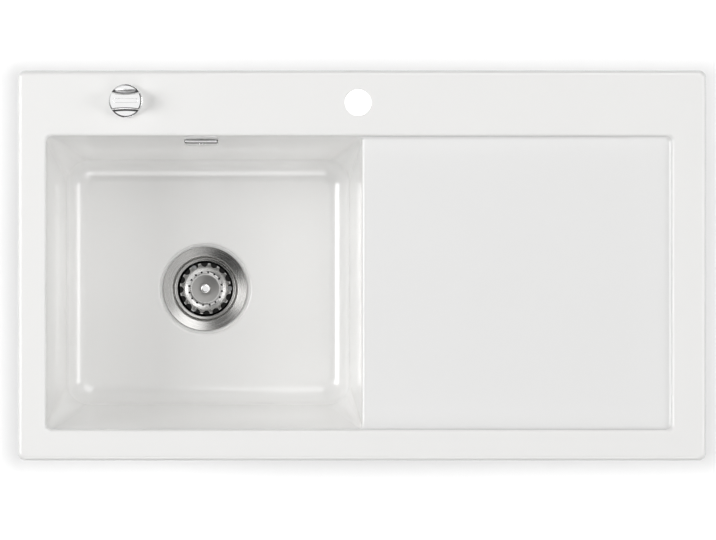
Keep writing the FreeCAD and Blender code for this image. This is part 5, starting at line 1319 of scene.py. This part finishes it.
def put_middle(tree, shader, satin, radius):
    """Darken and dull the metal inside a circle round the waste's axis."""
    place = node(tree, "ShaderNodeTexCoord")
    centred = node(tree, "ShaderNodeMapping")
    centre = waste_centre()
    centred.inputs["Location"].default_value = (-centre[0], -centre[1], 0)
    centred.inputs["Scale"].default_value = (1, 1, 0)
    away = node(tree, "ShaderNodeVectorMath", operation="LENGTH")
    tree.links.new(place.outputs["Object"], centred.inputs["Vector"])
    tree.links.new(centred.outputs["Vector"], away.inputs[0])
    inside = ramp(tree, away.outputs["Value"], radius, radius + 0.0006, 1.0, 0.0)
    tinted(tree, shader, inside, rgba(satin))
    dull = node(tree, "ShaderNodeMix", data_type="FLOAT")
    tree.links.new(shader.inputs["Roughness"].links[0].from_socket, dull.inputs[2])
    dull.inputs[3].default_value = 0.33
    tree.links.new(inside, dull.inputs[0])
    tree.links.new(dull.outputs[0], shader.inputs["Roughness"])


def basket_finish(tint):
    """Polished steel with a dull dish in the middle."""
    material, tree, shader = start_finish("polished_stainless")
    shader.inputs["Metallic"].default_value = 1.0
    put_clouds(
        tree, shader, rgba(tint.polished, 1.04), rgba(tint.polished, 0.96), 0.22, 0.34, 0.006,
        bump=0.000006, grain=0.003,
    )
    put_middle(tree, shader, tint.satin, bpy.context.scene.sink_basket.dish_radius)
    return material


def metal_finish(name, base, rough, cloud=0.02):
    """Plain or plated metal with faint clouds."""
    material, tree, shader = start_finish(name)
    shader.inputs["Metallic"].default_value = 1.0
    put_clouds(
        tree, shader, rgba(base, 1.04), rgba(base, 0.96), rough, rough * 1.3 + 0.01, cloud,
        bump=0.000004, grain=0.004,
    )
    return material


def cover_finish(tint):
    """Chrome with a painted dark reflection along the upper part of the cover's face and ends."""
    material = metal_finish("cover_chrome", tint.chrome, tint.chrome_rough)
    tree = material.node_tree
    shader = next(item for item in tree.nodes if item.type == "BSDF_PRINCIPLED")
    scene = bpy.context.scene
    size = scene.sink_overflow
    wall = wall_place(scene.sink_ceramic, size)
    outward = wall.to_3x3() @ UP
    front = wall.translation.dot(outward) + size.stand_off
    place, along, _, height = object_place(tree)
    depth = node(tree, "ShaderNodeVectorMath", operation="DOT_PRODUCT")
    depth.inputs[1].default_value = outward
    tree.links.new(place, depth.inputs[0])
    across = math_node(tree, "SUBTRACT", along, wall.translation.x)
    across = math_node(tree, "ABSOLUTE", across)
    end = size.length / 2
    edge = math_node(
        tree, "MAXIMUM", ramp(tree, depth.outputs["Value"], front - 0.0012, front - 0.0004),
        ramp(tree, across, end - 0.0024, end - 0.0014),
    )
    upper = ramp(tree, height, COVER_TOP - 0.010, COVER_TOP - 0.006)
    # Painted reflection: the chrome is darkened along the face's upper edge and at the ends.
    tinted(tree, shader, math_node(tree, "MULTIPLY", edge, upper), rgba(tint.chrome, 0.12))
    return material


def moulded_finish(name, base, rough, grain=0.0006, bump=0.00002):
    """Plastic, rubber or foam with a fine grain."""
    material, tree, shader = start_finish(name)
    put_clouds(
        tree, shader, rgba(base, 1.05), rgba(base, 0.93), rough, rough + 0.12, 0.03,
        bump=bump, grain=grain,
    )
    return material


def finish(slot):
    """The material of one of the part's finishes, made once."""
    found = bpy.data.materials.get(FINISH_NAMES[slot])
    if found:
        return found
    tint = bpy.context.scene.sink_finishes
    if slot == "ceramic":
        return glaze_finish(tint)
    if slot == "brushed_steel":
        return brushed_finish(tint)
    if slot == "polished_steel":
        return basket_finish(tint)
    if slot == "chrome":
        return metal_finish("chrome_plate", tint.chrome, tint.chrome_rough)
    if slot == "plain_steel":
        return metal_finish("zinc_steel", tint.zinc, 0.34, 0.008)
    if slot == "brass":
        return metal_finish("turned_brass", tint.brass, 0.25, 0.01)
    if slot == "white_plastic":
        return moulded_finish("white_moulding", tint.white_plastic, 0.34)
    if slot == "dark_plastic":
        return moulded_finish("dark_moulding", tint.dark_plastic, 0.38)
    if slot == "black_rubber":
        return moulded_finish("rubber", tint.rubber, 0.62, grain=0.0004, bump=0.00003)
    return moulded_finish("foam_strip", tint.foam, 0.85, grain=0.0008, bump=0.0002)


FINISH_NAMES = {
    "ceramic": "glazed_ceramic",
    "brushed_steel": "brushed_stainless",
    "polished_steel": "polished_stainless",
    "chrome": "chrome_plate",
    "plain_steel": "zinc_steel",
    "brass": "turned_brass",
    "white_plastic": "white_moulding",
    "dark_plastic": "dark_moulding",
    "black_rubber": "rubber",
    "grey_foam": "foam_strip",
}


def smoothing_group():
    """Shade a merged mesh smooth, except across edges that turn sharply."""
    group = bpy.data.node_groups.get("smooth_curves")
    if group:
        return group
    group = bpy.data.node_groups.new("smooth_curves", "GeometryNodeTree")
    socket(group, "Geometry", "NodeSocketGeometry")
    socket(group, "Geometry", "NodeSocketGeometry", output=True)
    enter = node(group, "NodeGroupInput")
    leave = node(group, "NodeGroupOutput")
    angle = node(group, "GeometryNodeInputMeshEdgeAngle")
    small = node(group, "FunctionNodeCompare", data_type="FLOAT", operation="LESS_THAN")
    small.inputs[1].default_value = SHARP
    faces = node(group, "GeometryNodeSetShadeSmooth", domain="FACE")
    edges = node(group, "GeometryNodeSetShadeSmooth", domain="EDGE")
    group.links.new(enter.outputs[0], faces.inputs["Geometry"])
    group.links.new(faces.outputs[0], edges.inputs["Geometry"])
    group.links.new(angle.outputs["Unsigned Angle"], small.inputs[0])
    group.links.new(small.outputs[0], edges.inputs["Shade Smooth"])
    group.links.new(edges.outputs[0], leave.inputs[0])
    return group


class SINK_OT_fittings(bpy.types.Operator):
    """Give the fittings under the sink their finishes and smooth shading"""

    bl_idname = "sink.dress_fittings"
    bl_label = "Fittings under the sink"

    def execute(self, context):
        for part in frame["record"]["subparts"]:
            item = frame["nodes"][part["node"]]
            if item.hide_render:
                continue
            item.data.materials.clear()
            item.data.materials.append(finish(part["material_slot"]))
            weld = item.modifiers.new("weld", "WELD")
            weld.merge_threshold = 1e-6
            smooth = item.modifiers.new("smooth", "NODES")
            smooth.node_group = smoothing_group()
            normals = item.modifiers.new("normals", "WEIGHTED_NORMAL")
            normals.keep_sharp = True
        return {"FINISHED"}


# --- floor, light and camera ---
def floor_material(studio):
    """A white floor that keeps the part's shadow, with a painted bright spot under the tap hole,
    and is clear from below.
    """
    material = bpy.data.materials.new("studio_floor")
    material.use_nodes = True
    tree = material.node_tree
    tree.nodes.clear()
    seen = node(tree, "ShaderNodeLightPath")
    shaded = node(tree, "ShaderNodeBsdfDiffuse")
    shaded.inputs["Color"].default_value = (0.36, 0.36, 0.36, 1)
    glow = node(tree, "ShaderNodeEmission")
    place = node(tree, "ShaderNodeTexCoord")
    away = node(tree, "ShaderNodeVectorMath", operation="DISTANCE")
    ceramic = bpy.context.scene.sink_ceramic
    away.inputs[1].default_value = (ceramic.tap_x, ceramic.tap_y, CAD_BOX[0].z)
    tree.links.new(place.outputs["Object"], away.inputs[0])
    radius = ceramic.hole_radius
    # Painted light: under the tap hole the floor glows fully white, taking away the part's shadow
    # there.
    white = ramp(tree, away.outputs["Value"], 2 * radius, 3 * radius, 1.0, 1 - studio.shadow)
    tree.links.new(
        math_node(tree, "MULTIPLY", direct_rays(tree, seen), white), glow.inputs["Strength"]
    )
    both = node(tree, "ShaderNodeAddShader")
    below = node(tree, "ShaderNodeNewGeometry")
    clear = node(tree, "ShaderNodeBsdfTransparent")
    side = node(tree, "ShaderNodeMixShader")
    leave = node(tree, "ShaderNodeOutputMaterial")
    tree.links.new(shaded.outputs[0], both.inputs[0])
    tree.links.new(glow.outputs[0], both.inputs[1])
    tree.links.new(below.outputs["Backfacing"], side.inputs[0])
    tree.links.new(both.outputs[0], side.inputs[1])
    tree.links.new(clear.outputs[0], side.inputs[2])
    tree.links.new(side.outputs[0], leave.inputs["Surface"])
    return material


def lamp(name, place, target, size, power, shape="SQUARE", receivers=None):
    light = bpy.data.lights.new(name, "AREA")
    light.shape = shape
    light.size = size
    light.energy = power
    item = bpy.data.objects.new(name, light)
    item.location = place
    item.rotation_euler = (Vector(place) - Vector(target)).to_track_quat("Z", "Y").to_euler()
    bpy.context.scene.collection.objects.link(item)
    if receivers:
        item.light_linking.receiver_collection = receivers
    return item


def sky_patch(tree, direction, towards, inner, outer, inside, outside):
    """A round patch of the sky: a factor that changes between two angles in degrees."""
    facing = node(tree, "ShaderNodeVectorMath", operation="DOT_PRODUCT")
    facing.inputs[1].default_value = Vector(towards).normalized()
    tree.links.new(direction, facing.inputs[0])
    start, end = math.cos(math.radians(outer)), math.cos(math.radians(inner))
    return ramp(tree, facing.outputs["Value"], start, end, outside, inside)


def studio_world(studio):
    """Soft light all round. What is seen or mirrored is white, with dark flags in the mirror."""
    world = bpy.data.worlds.new("studio_world")
    world.use_nodes = True
    tree = world.node_tree
    tree.nodes.clear()
    direction = node(tree, "ShaderNodeTexCoord").outputs["Generated"]
    sky = sky_patch(tree, direction, UP, 32, 52, studio.high_sky, studio.low_sky)
    front = sky_patch(tree, direction, (-0.40, -0.50, 0.77), 24, 38, 0.08, 1.0)
    back = sky_patch(tree, direction, (-0.28, 0.66, 0.70), 18, 26, 0.20, 1.0)
    overhead = sky_patch(tree, direction, UP, 7, 13, studio.overhead, 0.0)
    horizon = sky_patch(tree, direction, UP, 62, 74, 1.0, 0.08)
    flags = math_node(tree, "MULTIPLY", horizon, math_node(tree, "MULTIPLY", front, back))
    total = math_node(tree, "MULTIPLY", sky, flags)
    light = node(tree, "ShaderNodeBackground")
    light.inputs["Color"].default_value = (1, 0.995, 0.985, 1)
    tree.links.new(math_node(tree, "ADD", total, overhead), light.inputs["Strength"])
    white = node(tree, "ShaderNodeBackground")
    white.inputs["Color"].default_value = (1, 1, 1, 1)
    seen = node(tree, "ShaderNodeLightPath")
    mirrored = node(tree, "ShaderNodeMix", data_type="FLOAT")
    mirrored.inputs[2].default_value = 1.0
    tree.links.new(seen.outputs["Is Glossy Ray"], mirrored.inputs[0])
    tree.links.new(flags, mirrored.inputs[3])
    tree.links.new(mirrored.outputs[0], white.inputs["Strength"])
    mix = node(tree, "ShaderNodeMixShader")
    leave = node(tree, "ShaderNodeOutputWorld")
    tree.links.new(direct_rays(tree, seen), mix.inputs[0])
    tree.links.new(light.outputs[0], mix.inputs[1])
    tree.links.new(white.outputs[0], mix.inputs[2])
    tree.links.new(mix.outputs[0], leave.inputs["Surface"])
    bpy.context.scene.world = world


class SINK_OT_studio(bpy.types.Operator):
    """Put in the floor, the soft light and the camera above the sink"""

    bl_idname = "sink.set_stage"
    bl_label = "Floor, light and camera"

    def execute(self, context):
        studio = context.scene.sink_studio
        scene = context.scene
        ground = bmesh.new()
        bmesh.ops.create_grid(
            ground, x_segments=1, y_segments=1, size=8, matrix=shift(z=CAD_BOX[0].z - 0.0005)
        )
        mesh = bpy.data.meshes.new("studio_floor")
        ground.to_mesh(mesh)
        ground.free()
        mesh.materials.append(floor_material(studio))
        floor = bpy.data.objects.new("studio_floor", mesh)
        scene.collection.objects.link(floor)
        only_floor = bpy.data.collections.new("floor_light")
        only_floor.objects.link(floor)
        lamp(
            "floor_lamp", (0, 0, 3.4), (0, 0, 0), 0.45, studio.floor_lamp, "DISK", only_floor
        )
        lamp("left_box", (-2.8, 0.3, 1.75), (-0.2, 0, 0), 1.8, studio.left_box)
        lamp("right_box", (2.8, 0.2, 1.75), (-0.2, 0, 0), 1.8, studio.right_box)
        lamp("back_box", (0.4, 1.6, 2.0), (0, 0, 0), 1.4, studio.back_box)
        lamp("front_box", (0.2, -2.5, 1.8), (0, 0, 0), 1.8, studio.front_box)
        studio_world(studio)
        camera = bpy.data.cameras.new("camera")
        camera.lens = studio.lens
        camera.sensor_width = 36
        camera.clip_end = 50
        item = bpy.data.objects.new("camera", camera)
        item.location = (studio.camera_x, studio.camera_y, SINK_HIGH.z + studio.camera_height)
        scene.collection.objects.link(item)
        scene.camera = item
        scene.view_settings.view_transform = "Standard"
        return {"FINISHED"}


class SINK_PT_panel(bpy.types.Panel):
    """Lists the pieces of the sink and what can be changed"""

    bl_idname = "SINK_PT_panel"
    bl_label = "Inset ceramic sink"
    bl_space_type = "VIEW_3D"
    bl_region_type = "UI"
    bl_category = "Sink"

    def draw(self, context):
        layout = self.layout
        for operator in OPERATORS:
            layout.operator(operator.bl_idname)
        for name, _ in GROUPS:
            group = getattr(context.scene, name)
            box = layout.box()
            for key in group.bl_rna.properties.keys():
                if key not in ("rna_type", "name"):
                    box.prop(group, key)


GROUPS = (
    ("sink_ceramic", CeramicSizes),
    ("sink_waste", WasteSizes),
    ("sink_basket", BasketSizes),
    ("sink_overflow", OverflowSizes),
    ("sink_control", ControlSizes),
    ("sink_finishes", Finishes),
    ("sink_studio", Studio),
)
OPERATORS = (
    SINK_OT_ceramic,
    SINK_OT_strainer,
    SINK_OT_basket,
    SINK_OT_overflow,
    SINK_OT_control,
    SINK_OT_fittings,
    SINK_OT_studio,
)


def register():
    for name, group in GROUPS:
        bpy.utils.register_class(group)
        setattr(bpy.types.Scene, name, PointerProperty(type=group))
    for operator in OPERATORS:
        bpy.utils.register_class(operator)
    bpy.utils.register_class(SINK_PT_panel)


def unregister():
    bpy.utils.unregister_class(SINK_PT_panel)
    for operator in reversed(OPERATORS):
        bpy.utils.unregister_class(operator)
    for name, group in reversed(GROUPS):
        delattr(bpy.types.Scene, name)
        bpy.utils.unregister_class(group)


def main():
    register()
    bpy.ops.sink.make_ceramic()
    bpy.ops.sink.make_strainer()
    bpy.ops.sink.make_basket()
    bpy.ops.sink.make_overflow()
    bpy.ops.sink.make_control()
    bpy.ops.sink.dress_fittings()
    bpy.ops.sink.set_stage()


if __name__ == "__main__":
    main()
